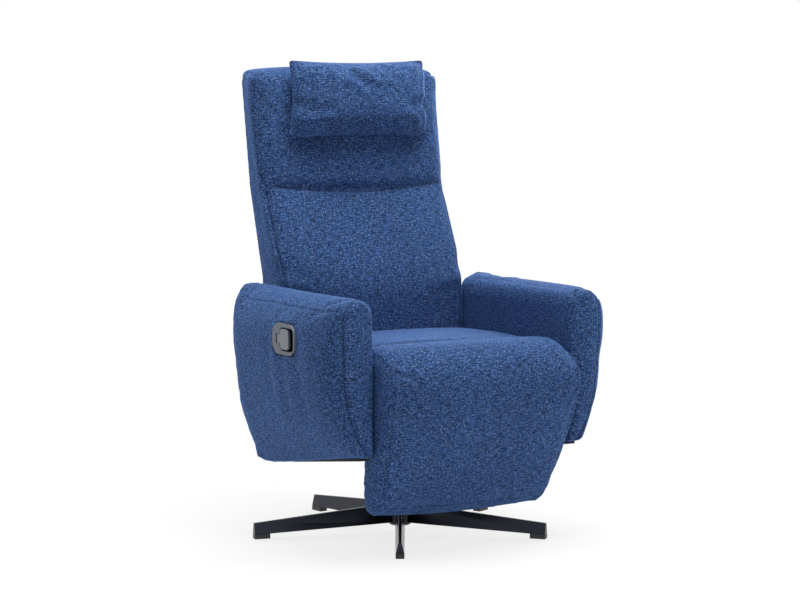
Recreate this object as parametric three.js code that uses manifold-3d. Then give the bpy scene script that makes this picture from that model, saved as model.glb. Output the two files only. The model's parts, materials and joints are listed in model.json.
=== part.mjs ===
// Star base swivel recliner with a fold-out footrest, in millimetres.
// +Z is up and the chair faces -Y. Left and right are the sitter's own, so the right arm lies at -X.
// The floor is z = 0. Sizes are given about the swivel axis, and the whole chair is moved at the end so
// that the middle of its bounding box lies over the origin.

import * as THREE from 'three';
import { mergeVertices } from 'three/addons/utils/BufferGeometryUtils.js';
import Module from 'manifold-3d';

const wasm = await Module();
wasm.setup();

// Clearances and counts that several pieces share

const touch = 0.3; // between faces that lie on each other
const running = 0.5; // round a shaft or a rod that moves in its hole
const cutOverrun = 5; // how far a cut runs past the piece it cuts
const roundSegments = 28; // sides of a turned piece
const barSegments = 12; // sides of a round tube or pin
const weld = 0.001; // vertices nearer than this are one vertex
const sides = [
  { name: 'right', sign: -1 },
  { name: 'left', sign: 1 },
];

// Driving dimensions

const star = {
  armCount: 5,
  firstArmDegrees: -29, // heading of the arm nearest the chair's front, measured from the front
  reach: 357, // swivel axis to the end of an arm
  rootLow: 21,
  rootHigh: 66,
  tipLow: 10, // the glide's height
  tipHigh: 37,
  rootWidth: 23,
  tipWidth: 20,
  ridgeRootWidth: 8,
  ridgeTipWidth: 7,
  glideLength: 37,
};

const hub = {
  radius: 26,
  low: 15,
  high: 70,
  edge: 2.5,
};

const column = {
  radius: 17,
  wall: 5,
  top: 214,
  bushWall: 2.6,
  bushFlange: 5.5,
  socketWall: 6,
  capThickness: 5,
  capRadius: 60,
};

const chassis = {
  plateWidth: 260,
  plateLength: 240,
  plateThickness: 5,
  railWidth: 30,
  railHeight: 20,
  railSpacing: 220,
  railFront: -192,
  railRear: 121,
  crossDepth: 40,
  crossHeight: 25,
  crossFrontY: -160,
  crossRearY: 100,
  runnerWidth: 20,
  runnerHeight: 12,
  runnerSpacing: 430,
  runnerFront: -190,
  runnerRear: 112,
};

const arm = {
  clearWidth: 504, // between the two inner faces
  width: 127,
  front: -349,
  rear: 156,
  crown: 593,
  bottomFront: 239,
  bottomRear: 169,
  boardInset: 10,
  boardThickness: 16,
  boardFront: -310,
  boardRear: 100,
  boardTop: 546,
  stripWidth: 24,
  stripThickness: 6,
  stripInset: 4,
  stripFront: -325,
  stripRear: 4,
  boardLift: 4, // from the underside up to the board's lower edge
};

// Outline of an arm's cross-section, counter-clockwise from its inner lower edge: shares of the arm's
// width, from the inner face outwards, and of its height, from the underside up.
const armOutlineShares = [
  [0, 0.012], [0.03, 0], [0.24, 0], [0.37, 0.012], [0.47, 0.045], [0.58, 0.105], [0.69, 0.184], [0.79, 0.262],
  [0.86, 0.334], [0.92, 0.44], [0.965, 0.56], [0.995, 0.66], [1, 0.734], [0.99, 0.8], [0.96, 0.86],
  [0.9, 0.908], [0.8, 0.942], [0.66, 0.97], [0.5, 0.992], [0.36, 1], [0.22, 0.992], [0.1, 0.97],
  [0.03, 0.935], [0, 0.885], [0, 0.7], [0, 0.46], [0, 0.2],
];

// Stations along an arm from front to rear: shares of the arm's length, then, as shares of its width, the
// width there, how far the inner face is drawn in, how far the top drops and how far the underside lifts.
const armStationShares = [
  [0, 0.56, 0.13, 0.13, 0.04], [0.012, 0.72, 0.05, 0.06, 0.012], [0.04, 0.83, 0.01, 0.015, 0],
  [0.09, 0.9, 0, 0, 0], [0.22, 0.96, 0, 0, 0], [0.45, 1, 0, 0, 0], [0.7, 0.995, 0, 0, 0],
  [0.87, 0.985, 0, 0, 0.01],
  [0.955, 0.965, 0, 0.005, 0.035], [0.988, 0.935, 0.01, 0.03, 0.08], [1, 0.88, 0.03, 0.075, 0.14],
];

const handle = {
  y: -148,
  z: 488,
  proud: 1, // how far the bezel's face stands out of the arm
  flangeLength: 110,
  flangeHeight: 70,
  flangeCorner: 30,
  flangeThickness: 6,
  cupLength: 94,
  cupHeight: 62,
  cupCorner: 16,
  cupDepth: 36,
  recessRear: 18, // this and the other places below are measured back from the bezel's middle
  recessFront: -49,
  recessHeight: 53,
  recessCorner: 13,
  recessDepth: 38,
  notchRear: 36,
  notchHeight: 22,
  notchDepth: 12,
  paddleRear: 16,
  paddleFront: -24.5,
  paddleHeight: 46,
  paddleCorner: 9,
  paddleThickness: 5,
  tabHeight: 20,
  pivotRear: 30,
  pivotRadius: 3.6,
  pivotDepth: 5.4,
};

const cable = {
  radius: 2.5,
  sides: 8,
  steps: 56,
  channelWidth: 16,
  holeRadius: 5.5,
  crossingY: -125,
  crossingZ: 262,
};

const seat = {
  railWidth: 25,
  railHeight: 25,
  railFront: -276,
  railRear: 80,
  barDepth: 25,
  barThickness: 8,
  frontBarY: -212,
  rearBarY: 68,
  webThickness: 4,
  webFront: -238,
  cushionWidth: 496,
  cushionRear: 93,
  cushionTop: 470, // at the side edges
  cushionCrown: 8,
  cushionFrontFall: 3,
  cushionRearFall: 14,
  cushionRound: 30,
  cushionFrontRound: 2.5,
  cushionFootRound: 6,
};

// The rear apron fills the space between the arms below the backrest
const apron = {
  low: 192,
  thickness: 8,
};

const footrest = {
  axleY: -331,
  axleZ: 390,
  axleRadius: 8,
  hollowRadius: 32,
  noseRadius: 96,
  noseSegments: 36,
  noseGapDegrees: 2, // between the end of the nose's padding and the crease of the seat cushion
  runningGap: 3,
  leanDegrees: 20, // how far the folded panel's lower end swings back under the seat
  width: 500,
  length: 325, // from the axle to the lower edge
  bottomBow: 20,
  boardThickness: 12,
  boardTopDrop: 43, // these drops are distances below the axle while the panel hangs straight down
  boardLowDrop: 290,
  boardTopWidth: 380,
  boardLowWidth: 350,
  liningThickness: 3,
  liningMargin: 12,
  hingeInset: 53, // from the seat's rails to the hinge arms
  hingeThickness: 6,
  hingeBoss: 15,
  hingeArmDepth: 20,
  hingeArmDrop: 157,
  crankRadius: 134.3,
  crankDegrees: -65.6,
  crankEye: 10,
  crankArmWidth: 12,
  bracketThickness: 5,
  bracketBoss: 9,
  bracketWidth: 14,
  bracketFootInset: 10,
  bracketFootDrop: 10,
};

// The footrest pad's stations from its nose down to its lower edge: shares of the length from the axle to
// the lower edge, then the panel's thickness as a share of the nose's radius and the panel's half width as
// a share of the pad's half width.
const padStationShares = [
  [0, 1, 1], [0.14, 0.97, 1], [0.3, 0.91, 0.995], [0.46, 0.83, 0.98], [0.62, 0.735, 0.96],
  [0.78, 0.61, 0.93], [0.9, 0.48, 0.905], [0.97, 0.35, 0.88], [1, 0.2, 0.85],
];
const padNoseSteps = 9;
const padEdgeShare = 0.32; // of the nose's padding that is left at the pad's side edges
const padEdgePower = 4.4;

const strut = {
  tubeRadius: 10,
  rodRadius: 5,
  boreRadius: 5.6,
  footrestTubeFront: -184,
  footrestTubeWall: 14,
  footrestRodRear: 34,
  footrestTubeRadius: 9.5,
  reclineTubeRear: 26,
  reclineRodFront: -84,
  reclineTubeWall: 14,
  eyeRadius: 9,
};

const back = {
  width: 496,
  hingeY: 165,
  hingeZ: 338,
  bottom: 356,
  frontFoot: 117, // the front face at the side edges, upright up to leanStart
  leanStart: 588,
  lumbarLean: 25,
  headHeight: 283, // from the knee, where the head section starts, to the top
  headLean: 9,
  top: 1089,
  depthFoot: 104,
  depthLeanStart: 126,
  depthKnee: 92,
  depthTop: 95,
  crown: 22,
  crownPower: 2.4,
  frontRound: 30,
  rearRound: 5,
  creaseSag: 14,
  creaseRise: 5,
  creaseTuck: 6, // how far the lumbar cushion's top edge lies behind the head section's lower edge
  coverThickness: 12,
  coverCrown: 6,
  coverInset: 6,
  tubeRadius: 12,
  tubeInset: 43, // from the backrest's side edges to the middles of the side tubes
  tubeBottom: 322,
  tubeDrop: 49, // from the top to the upper ends of the side tubes
  pocketDepth: 32,
  pocketSide: 6, // beside the tubes
  pocketSpare: 4, // above the tubes' ends
  pocketMouthY: 150,
  pocketMouthTop: 420,
  lowerTubeRadius: 10,
  crankRadius: 50,
  crankDegrees: -76,
  crankThickness: 6,
  crankArmWidth: 16,
  bracketThickness: 5,
  bracketInset: 16,
  bracketBoss: 14,
  pinRadius: 6,
  pinInset: 9, // from a side tube's middle to the inner end of its pin
};

const pillow = {
  width: 368,
  height: 188,
  drop: 77, // from the backrest's top to the pillow's middle
  seamOffset: 17,
  frontBulge: 60,
  seamThickness: 3,
  sideDraw: 9,
  topDraw: 7,
  strapWidth: 40,
  strapThickness: 2,
  strapFrontDrop: 139, // the strap's ends and the counterweight, below the backrest's top
  strapGap: 0.6,
  strapRearDrop: 53,
  weightWidth: 170,
  weightHeight: 52,
  weightThickness: 24,
  weightRound: 11,
  weightDrop: 159,
};

// Colours and finishes

const finishes = {
  fabric: new THREE.MeshStandardMaterial({ color: '#2b4481', roughness: 0.95, metalness: 0 }),
  blackSteel: new THREE.MeshStandardMaterial({ color: '#17181a', roughness: 0.45, metalness: 0.6 }),
  zincSteel: new THREE.MeshStandardMaterial({ color: '#9a9c9e', roughness: 0.35, metalness: 0.9 }),
  chrome: new THREE.MeshStandardMaterial({ color: '#d5d7d9', roughness: 0.12, metalness: 1 }),
  plywood: new THREE.MeshStandardMaterial({ color: '#b98e5c', roughness: 0.8, metalness: 0 }),
  greyPlastic: new THREE.MeshStandardMaterial({ color: '#5f6063', roughness: 0.5, metalness: 0 }),
  blackPlastic: new THREE.MeshStandardMaterial({ color: '#101112', roughness: 0.6, metalness: 0 }),
  blackCloth: new THREE.MeshStandardMaterial({ color: '#15161a', roughness: 0.95, metalness: 0 }),
  webbing: new THREE.MeshStandardMaterial({ color: '#202124', roughness: 0.9, metalness: 0 }),
};

// Helpers for angles and tables

const radians = THREE.MathUtils.degToRad;
const lerp = THREE.MathUtils.lerp;
const clamp = THREE.MathUtils.clamp;

// Reads one column of a table whose first column rises, with straight lines between its rows.
function readTable(table, at, index) {
  const last = table.length - 1;
  const upper = clamp(table.findIndex((row) => row[0] >= at), 1, last);
  const next = at > table[last][0] ? last : upper;
  const low = table[next - 1];
  const high = table[next];
  const share = clamp((at - low[0]) / (high[0] - low[0]), 0, 1);
  return lerp(low[index], high[index], share);
}

// Helpers for solids

// Strips a geometry to its positions and joins the vertices that its faces share.
function closed(geometry) {
  const bare = geometry.clone();
  for (const name of Object.keys(bare.attributes)) {
    if (name !== 'position') {
      bare.deleteAttribute(name);
    }
  }
  return mergeVertices(bare, weld);
}

function toSolid(geometry) {
  const bare = closed(geometry);
  const vertProperties = new Float32Array(bare.attributes.position.array);
  const triVerts = new Uint32Array(bare.index.array);
  return new wasm.Manifold(new wasm.Mesh({ numProp: 3, vertProperties, triVerts }));
}

function toGeometry(solid) {
  const mesh = solid.getMesh();
  const geometry = new THREE.BufferGeometry();
  geometry.setAttribute('position', new THREE.BufferAttribute(mesh.vertProperties, 3));
  geometry.setIndex(new THREE.BufferAttribute(mesh.triVerts, 1));
  return geometry;
}

function cut(geometry, tools) {
  const solid = tools.reduce((left, tool) => left.subtract(toSolid(tool)), toSolid(geometry));
  return toGeometry(solid);
}

function join(geometries) {
  const [first, ...rest] = geometries.map(toSolid);
  return toGeometry(rest.reduce((left, next) => left.add(next), first));
}

// Moves every vertex of a geometry to where place(x, y, z) puts it.
function reshape(geometry, place) {
  const shaped = closed(geometry);
  const points = shaped.attributes.position;
  for (let i = 0; i < points.count; i += 1) {
    const [x, y, z] = place(points.getX(i), points.getY(i), points.getZ(i));
    points.setXYZ(i, x, y, z);
  }
  return shaped;
}

// A box between two corners.
function block(low, high) {
  const geometry = new THREE.BoxGeometry(high[0] - low[0], high[1] - low[1], high[2] - low[2]);
  return geometry.translate((low[0] + high[0]) / 2, (low[1] + high[1]) / 2, (low[2] + high[2]) / 2);
}

// A box of the same size on either side: its inner and outer x are distances from the middle.
function sideBlock(sign, innerX, outerX, lowY, highY, lowZ, highZ) {
  const xs = [sign * innerX, sign * outerX].sort((a, b) => a - b);
  return block([xs[0], lowY, lowZ], [xs[1], highY, highZ]);
}

// A polygon in (y, z), extruded along x between two places.
function plateAcrossX(shape, lowX, highX) {
  const geometry = new THREE.ExtrudeGeometry(shape, {
    depth: highX - lowX, bevelEnabled: false, curveSegments: 6,
  });
  const turn = new THREE.Matrix4().set(0, 0, 1, lowX, 1, 0, 0, 0, 0, 1, 0, 0, 0, 0, 0, 1);
  return geometry.applyMatrix4(turn);
}

function plateOnSide(shape, sign, innerX, outerX) {
  const xs = [sign * innerX, sign * outerX].sort((a, b) => a - b);
  return plateAcrossX(shape, xs[0], xs[1]);
}

// A polygon in (x, z), extruded along y between two places.
function plateAcrossY(shape, lowY, highY) {
  const geometry = new THREE.ExtrudeGeometry(shape, {
    depth: highY - lowY, bevelEnabled: false, curveSegments: 6,
  });
  return geometry.rotateX(Math.PI / 2).translate(0, highY, 0);
}

function barAcrossX(radius, lowX, highX, y, z, segments = barSegments) {
  const geometry = new THREE.CylinderGeometry(radius, radius, highX - lowX, segments);
  return geometry.rotateZ(Math.PI / 2).translate((lowX + highX) / 2, y, z);
}

function barAlongY(radius, lowY, highY, x, z) {
  const geometry = new THREE.CylinderGeometry(radius, radius, highY - lowY, barSegments);
  return geometry.translate(x, (lowY + highY) / 2, z);
}

// A turned piece about +Z from (radius, height) pairs.
function turned(profile) {
  const points = profile.map(([radius, height]) => new THREE.Vector2(radius, height));
  const lathe = closed(new THREE.LatheGeometry([...points, points[0]], roundSegments));
  return lathe.rotateX(Math.PI / 2);
}

function polygon(points) {
  return new THREE.Shape(points.map(([a, b]) => new THREE.Vector2(a, b)));
}

// A rectangle with round corners between two corners.
function roundedRectangle(low, high, radius) {
  const shape = new THREE.Shape();
  const [left, bottom] = low;
  const [right, top] = high;
  const quarter = Math.PI / 2;
  shape.absarc(right - radius, bottom + radius, radius, -quarter, 0);
  shape.absarc(right - radius, top - radius, radius, 0, quarter);
  shape.absarc(left + radius, top - radius, radius, quarter, 2 * quarter);
  shape.absarc(left + radius, bottom + radius, radius, 2 * quarter, 3 * quarter);
  return shape;
}

// A flat lever between two eyes: a polygon in (y, z) that is as wide as the eyes at its ends.
function linkOutline(from, to, width) {
  const direction = new THREE.Vector2(to[0] - from[0], to[1] - from[1]).normalize();
  const across = new THREE.Vector2(-direction.y, direction.x).multiplyScalar(width / 2);
  return polygon([
    [from[0] + across.x, from[1] + across.y],
    [from[0] - across.x, from[1] - across.y],
    [to[0] - across.x, to[1] - across.y],
    [to[0] + across.x, to[1] + across.y],
  ]);
}

// A block with cells, closer together towards its edges, whose edges and corners are rounded.
// place(x, y, z) then bends it to its final form.
function softBlock(half, cells, radiusAt, place) {
  const geometry = closed(new THREE.BoxGeometry(2, 2, 2, ...cells));
  const ease = (share) => Math.sin((share * Math.PI) / 2);
  return reshape(geometry, (u, v, w) => {
    const point = [ease(u) * half[0], ease(v) * half[1], ease(w) * half[2]];
    const radius = radiusAt(point);
    const inner = point.map((value, axis) => clamp(value, radius - half[axis], half[axis] - radius));
    const offset = new THREE.Vector3(...point.map((value, axis) => value - inner[axis]));
    offset.setLength(offset.length() > 0 ? radius : 0);
    return place(inner[0] + offset.x, inner[1] + offset.y, inner[2] + offset.z);
  });
}

// The chair is a group of named meshes

const chair = new THREE.Group();

function add(name, finish, geometry) {
  const mesh = new THREE.Mesh(closed(geometry), finishes[finish].clone());
  mesh.name = name;
  chair.add(mesh);
  return mesh;
}

// Star base: five tapered arms round a hub, each on a glide

const armRoot = hub.radius + touch;

function starArm() {
  return reshape(new THREE.BoxGeometry(1, 1, 1), (x, y, z) => {
    const along = y + 0.5;
    const up = z + 0.5;
    const low = lerp(star.rootLow, star.tipLow + touch, along);
    const high = lerp(star.rootHigh, star.tipHigh, along);
    const foot = lerp(star.rootWidth, star.tipWidth, along);
    const ridge = lerp(star.ridgeRootWidth, star.ridgeTipWidth, along);
    return [x * lerp(foot, ridge, up), lerp(armRoot, star.reach, along), lerp(low, high, up)];
  });
}

function starGlide() {
  const slope = (star.rootLow - star.tipLow - touch) / (star.reach - armRoot);
  const half = star.tipWidth / 2;
  const blank = block([-half, star.reach - star.glideLength, 0], [half, star.reach, star.tipLow]);
  return reshape(blank, (x, y, z) => {
    const lift = z > 0 ? (star.reach - y) * slope : 0;
    return [x, y, z + lift];
  });
}

for (let i = 0; i < star.armCount; i += 1) {
  const turn = Math.PI + radians(star.firstArmDegrees) + (i * 2 * Math.PI) / star.armCount;
  add(`star_arm_${i + 1}`, 'blackSteel', starArm().rotateZ(turn));
  add(`glide_${i + 1}`, 'blackPlastic', starGlide().rotateZ(turn));
}

// Hub, column and swivel bearing

const bushInner = column.radius + touch;
const bushOuter = bushInner + column.bushWall;
const socketInner = bushOuter + touch;
const socketOuter = socketInner + column.socketWall;
const flangeTop = hub.high + touch + column.bushFlange;
const socketTop = column.top + running;

add('base_hub', 'blackSteel', turned([
  [bushInner, hub.low],
  [hub.radius - hub.edge, hub.low],
  [hub.radius, hub.low + hub.edge],
  [hub.radius, hub.high],
  [bushInner, hub.high],
]));

add('base_column', 'zincSteel', turned([
  [column.radius - column.wall, hub.low],
  [column.radius, hub.low],
  [column.radius, column.top],
  [column.radius - column.wall, column.top],
]));

add('swivel_bush', 'blackPlastic', turned([
  [bushInner, hub.high + touch],
  [hub.radius, hub.high + touch],
  [hub.radius, flangeTop],
  [bushOuter, flangeTop],
  [bushOuter, column.top],
  [bushInner, column.top],
]));

add('swivel_socket', 'blackSteel', turned([
  [0, socketTop],
  [socketInner, socketTop],
  [socketInner, flangeTop + touch],
  [socketOuter, flangeTop + touch],
  [socketOuter, socketTop],
  [column.capRadius, socketTop],
  [column.capRadius, socketTop + column.capThickness],
  [0, socketTop + column.capThickness],
]));

// Chassis: mount plate, rails, cross tubes and the runners that the seat slides on

const plateLow = socketTop + column.capThickness + touch;
const plateHigh = plateLow + chassis.plateThickness;
const railLow = plateHigh + touch;
const railHigh = railLow + chassis.railHeight;
const crossLow = railHigh + touch;
const crossHigh = crossLow + chassis.crossHeight;
const runnerLow = crossHigh + touch;
const runnerHigh = runnerLow + chassis.runnerHeight;
const armInner = arm.clearWidth / 2;
const tubeX = back.width / 2 - back.tubeInset;
const bracketX = back.width / 2 - back.bracketInset;
const pocketReach = tubeX + back.tubeRadius + back.pocketSide;
const kneeZ = back.top - back.headHeight;
const tubeTop = back.top - back.tubeDrop;
const boardInner = armInner + arm.boardInset;
const boardOuter = boardInner + arm.boardThickness;

add('mount_plate', 'blackSteel', block(
  [-chassis.plateWidth / 2, -chassis.plateLength / 2, plateLow],
  [chassis.plateWidth / 2, chassis.plateLength / 2, plateHigh],
));

for (const { name, sign } of sides) {
  const railInner = (chassis.railSpacing - chassis.railWidth) / 2;
  const runnerInner = (chassis.runnerSpacing - chassis.runnerWidth) / 2;
  add(`chassis_rail_${name}`, 'blackSteel', sideBlock(
    sign, railInner, railInner + chassis.railWidth, chassis.railFront, chassis.railRear, railLow, railHigh,
  ));
  add(`seat_runner_${name}`, 'zincSteel', sideBlock(
    sign, runnerInner, runnerInner + chassis.runnerWidth, chassis.runnerFront, chassis.runnerRear,
    runnerLow, runnerHigh,
  ));
}

const crossTubes = [
  { name: 'cross_tube_front', y: chassis.crossFrontY },
  { name: 'cross_tube_rear', y: chassis.crossRearY },
];
for (const { name, y } of crossTubes) {
  const halfDepth = chassis.crossDepth / 2;
  const reach = boardInner - touch;
  add(name, 'blackSteel', block([-reach, y - halfDepth, crossLow], [reach, y + halfDepth, crossHigh]));
}

// Arms: a plywood board inside a padded cover, and a black strip that closes the cover's underside

function armBottom(y) {
  return lerp(arm.bottomFront, arm.bottomRear, (y - arm.front) / (arm.rear - arm.front));
}

function armForm(sign) {
  const outline = polygon(armOutlineShares);
  const steps = armStationShares.length - 1;
  const sweep = new THREE.ExtrudeGeometry(outline, { depth: steps, steps, bevelEnabled: false });
  const form = reshape(sweep, (across, up, station) => {
    const [along, widthShare, inset, drop, lift] = armStationShares[Math.round(station)];
    const y = lerp(arm.front, arm.rear, along);
    const low = armBottom(y) + lift * arm.width;
    const high = arm.crown - drop * arm.width;
    const x = lerp(armInner + inset * arm.width, armInner + widthShare * arm.width, across);
    return [x, y, lerp(low, high, up)];
  });
  // The sweep runs towards +Y here, which turns it inside out, and the right arm is its mirror image.
  return sign < 0 ? form.scale(-1, 1, 1) : mirrored(form);
}

// Turns the faces of a geometry round.
function mirrored(geometry) {
  const flipped = geometry.clone();
  const index = flipped.index.array;
  for (let i = 0; i < index.length; i += 3) {
    [index[i], index[i + 1]] = [index[i + 1], index[i]];
  }
  return flipped;
}

function armBoardOutline(margin, lowExtra) {
  return polygon([
    [arm.boardFront - margin, armBottom(arm.boardFront) - lowExtra],
    [arm.boardRear + margin, armBottom(arm.boardRear) - lowExtra],
    [arm.boardRear + margin, arm.boardTop + margin],
    [arm.boardFront - margin, arm.boardTop + margin],
  ]);
}

function armCuts(sign) {
  const notches = crossTubes.map(({ y }) => sideBlock(
    sign, armInner - cutOverrun, boardInner + touch, y - chassis.crossDepth / 2 - touch,
    y + chassis.crossDepth / 2 + touch, crossLow - touch, crossHigh + touch,
  ));
  const slot = plateOnSide(armBoardOutline(touch, cutOverrun), sign, boardInner - touch, boardOuter + touch);
  return [slot, ...notches];
}

// The handle's outlines lie in (y, z), seen from the right side of the chair
const handleX = -(armInner + arm.width + handle.proud);
const flangeInnerX = handleX + handle.flangeThickness;
const cupInnerX = flangeInnerX + handle.cupDepth;
const cableEntryX = -(boardOuter + cable.channelWidth / 2);

function centredRectangle(length, height, corner, margin) {
  return roundedRectangle(
    [handle.y - length / 2 - margin, handle.z - height / 2 - margin],
    [handle.y + length / 2 + margin, handle.z + height / 2 + margin],
    corner,
  );
}

function handleCuts() {
  const halfChannel = cable.channelWidth / 2;
  const flange = centredRectangle(handle.flangeLength, handle.flangeHeight, handle.flangeCorner, touch);
  const cup = centredRectangle(handle.cupLength, handle.cupHeight, handle.cupCorner, touch);
  return [
    plateAcrossX(flange, handleX - cutOverrun, flangeInnerX + touch),
    plateAcrossX(cup, flangeInnerX, cupInnerX + touch),
    block([cupInnerX, handle.y - halfChannel, handle.z - halfChannel],
      [-boardOuter, handle.y + halfChannel, handle.z + halfChannel]),
    block([-boardOuter - cable.channelWidth, handle.y - halfChannel, cable.crossingZ - 2 * halfChannel],
      [-boardOuter, cable.crossingY + halfChannel, handle.z + halfChannel]),
    block([-boardInner - touch, cable.crossingY - halfChannel, cable.crossingZ - halfChannel],
      [-armInner + cutOverrun, cable.crossingY + halfChannel, cable.crossingZ + halfChannel]),
  ];
}

function armUndersideStrip(sign) {
  const inner = armInner + arm.stripInset;
  const strip = sideBlock(
    sign, inner, inner + arm.stripWidth, arm.stripFront, arm.stripRear, -arm.stripThickness, 0,
  );
  return reshape(strip, (x, y, z) => [x, y, z + armBottom(y) - touch]);
}

for (const { name, sign } of sides) {
  const cuts = sign < 0 ? [...armCuts(sign), ...handleCuts()] : armCuts(sign);
  add(`arm_cushion_${name}`, 'fabric', cut(armForm(sign), cuts));
  const board = plateOnSide(armBoardOutline(0, -arm.boardLift), sign, boardInner, boardOuter);
  const cableHole = barAcrossX(
    cable.holeRadius, -boardOuter - cutOverrun, -boardInner + cutOverrun, cable.crossingY, cable.crossingZ,
  );
  add(`arm_board_${name}`, 'plywood', sign < 0 ? cut(board, [cableHole]) : board);
  add(`arm_underside_${name}`, 'blackCloth', armUndersideStrip(sign));
}

// Release handle: a bezel with a finger cup in the right arm, a hinged paddle and its cable

const recess = roundedRectangle(
  [handle.y + handle.recessFront, handle.z - handle.recessHeight / 2],
  [handle.y + handle.recessRear, handle.z + handle.recessHeight / 2],
  handle.recessCorner,
);
const notchFront = handle.y + handle.recessRear - handle.recessCorner;
const notch = polygon([
  [notchFront, handle.z - handle.notchHeight / 2],
  [handle.y + handle.notchRear, handle.z - handle.notchHeight / 2],
  [handle.y + handle.notchRear, handle.z + handle.notchHeight / 2],
  [notchFront, handle.z + handle.notchHeight / 2],
]);
const bezelFlange = centredRectangle(handle.flangeLength, handle.flangeHeight, handle.flangeCorner, 0);
const bezelCup = centredRectangle(handle.cupLength, handle.cupHeight, handle.cupCorner, 0);

add('handle_bezel', 'greyPlastic', cut(
  join([
    plateAcrossX(bezelFlange, handleX, flangeInnerX),
    plateAcrossX(bezelCup, flangeInnerX - handle.flangeThickness / 2, cupInnerX),
  ]),
  [
    plateAcrossX(recess, handleX - cutOverrun, handleX + handle.recessDepth),
    plateAcrossX(notch, handleX - cutOverrun, handleX + handle.notchDepth),
  ],
));

const paddlePlate = roundedRectangle(
  [handle.y + handle.paddleFront, handle.z - handle.paddleHeight / 2],
  [handle.y + handle.paddleRear, handle.z + handle.paddleHeight / 2],
  handle.paddleCorner,
);
const tabFront = handle.y + handle.paddleRear - handle.paddleCorner;
const pivotY = handle.y + handle.pivotRear;
const paddleTab = polygon([
  [tabFront, handle.z - handle.tabHeight / 2],
  [pivotY, handle.z - handle.tabHeight / 2],
  [pivotY, handle.z + handle.tabHeight / 2],
  [tabFront, handle.z + handle.tabHeight / 2],
]);
const paddleBarrel = new THREE.CylinderGeometry(
  handle.pivotRadius, handle.pivotRadius, handle.notchHeight - 2 * running, barSegments,
);
const paddleInnerX = handleX + handle.paddleThickness;

add('release_paddle', 'greyPlastic', join([
  plateAcrossX(paddlePlate, handleX, paddleInnerX),
  plateAcrossX(paddleTab, handleX, paddleInnerX),
  paddleBarrel.rotateX(Math.PI / 2).translate(handleX + handle.pivotDepth, pivotY, handle.z),
]));

// Recline strut: a gas spring between the front cross tube and the crank of the backrest

const reclineCrank = [
  back.hingeY + back.crankRadius * Math.cos(radians(back.crankDegrees)),
  back.hingeZ + back.crankRadius * Math.sin(radians(back.crankDegrees)),
];
const reclineTubeFront = chassis.crossFrontY + chassis.crossDepth / 2 + touch;
const rodX = back.crankThickness / 2 + touch + strut.rodRadius;

// A gas spring's tube along y, closed at one end, with a bore for its rod.
function strutTube(radius, closedEnd, openEnd, wall, x, z) {
  const inner = closedEnd + Math.sign(openEnd - closedEnd) * wall;
  const mouth = openEnd + Math.sign(openEnd - closedEnd) * cutOverrun;
  const outer = barAlongY(radius, Math.min(closedEnd, openEnd), Math.max(closedEnd, openEnd), x, z);
  return cut(outer, [barAlongY(strut.boreRadius, Math.min(inner, mouth), Math.max(inner, mouth), x, z)]);
}

// A rod along y with a flat eye at its free end.
function strutRod(insideEnd, eyeY, x, z) {
  const eye = barAcrossX(strut.eyeRadius, x - strut.rodRadius, x + strut.rodRadius, eyeY, z);
  return join([barAlongY(strut.rodRadius, Math.min(insideEnd, eyeY), Math.max(insideEnd, eyeY), x, z), eye]);
}

add('recline_strut_tube', 'blackSteel', strutTube(
  strut.tubeRadius, reclineTubeFront, strut.reclineTubeRear, strut.reclineTubeWall, rodX, reclineCrank[1],
));
add('recline_strut_rod', 'chrome', strutRod(strut.reclineRodFront, reclineCrank[0], rodX, reclineCrank[1]));

// Release cable, held in the arm and led to the recline strut's valve

const cableRoute = new THREE.CatmullRomCurve3([
  new THREE.Vector3(cupInnerX + touch, handle.y, handle.z),
  new THREE.Vector3(cupInnerX + 4 * cable.radius, handle.y, handle.z),
  new THREE.Vector3(cableEntryX - 4 * cable.radius, handle.y, handle.z - cable.radius / 2),
  new THREE.Vector3(cableEntryX, handle.y, handle.z - 6 * cable.radius),
  new THREE.Vector3(cableEntryX, lerp(handle.y, cable.crossingY, 0.5), lerp(handle.z, cable.crossingZ, 0.5)),
  new THREE.Vector3(cableEntryX, cable.crossingY, cable.crossingZ + 6 * cable.radius),
  new THREE.Vector3(-boardOuter + cable.radius, cable.crossingY, cable.crossingZ),
  new THREE.Vector3(-armInner, cable.crossingY, cable.crossingZ),
  new THREE.Vector3(-armInner / 2, cable.crossingY, cable.crossingZ),
  new THREE.Vector3(-6 * strut.tubeRadius, cable.crossingY, cable.crossingZ),
  new THREE.Vector3(-2 * strut.tubeRadius, cable.crossingY, reclineCrank[1]),
  new THREE.Vector3(rodX - strut.tubeRadius - touch, cable.crossingY, reclineCrank[1]),
], false, 'centripetal');
const cableSection = new THREE.Shape(Array.from({ length: cable.sides }, (_, i) => {
  const angle = (i * 2 * Math.PI) / cable.sides;
  return new THREE.Vector2(cable.radius * Math.cos(angle), cable.radius * Math.sin(angle));
}));
add('release_cable', 'blackPlastic', new THREE.ExtrudeGeometry(cableSection, {
  steps: cable.steps, extrudePath: cableRoute, bevelEnabled: false,
}));

// Recline brackets: they stand on the rear cross tube and hold the backrest's two hinge pins

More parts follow.
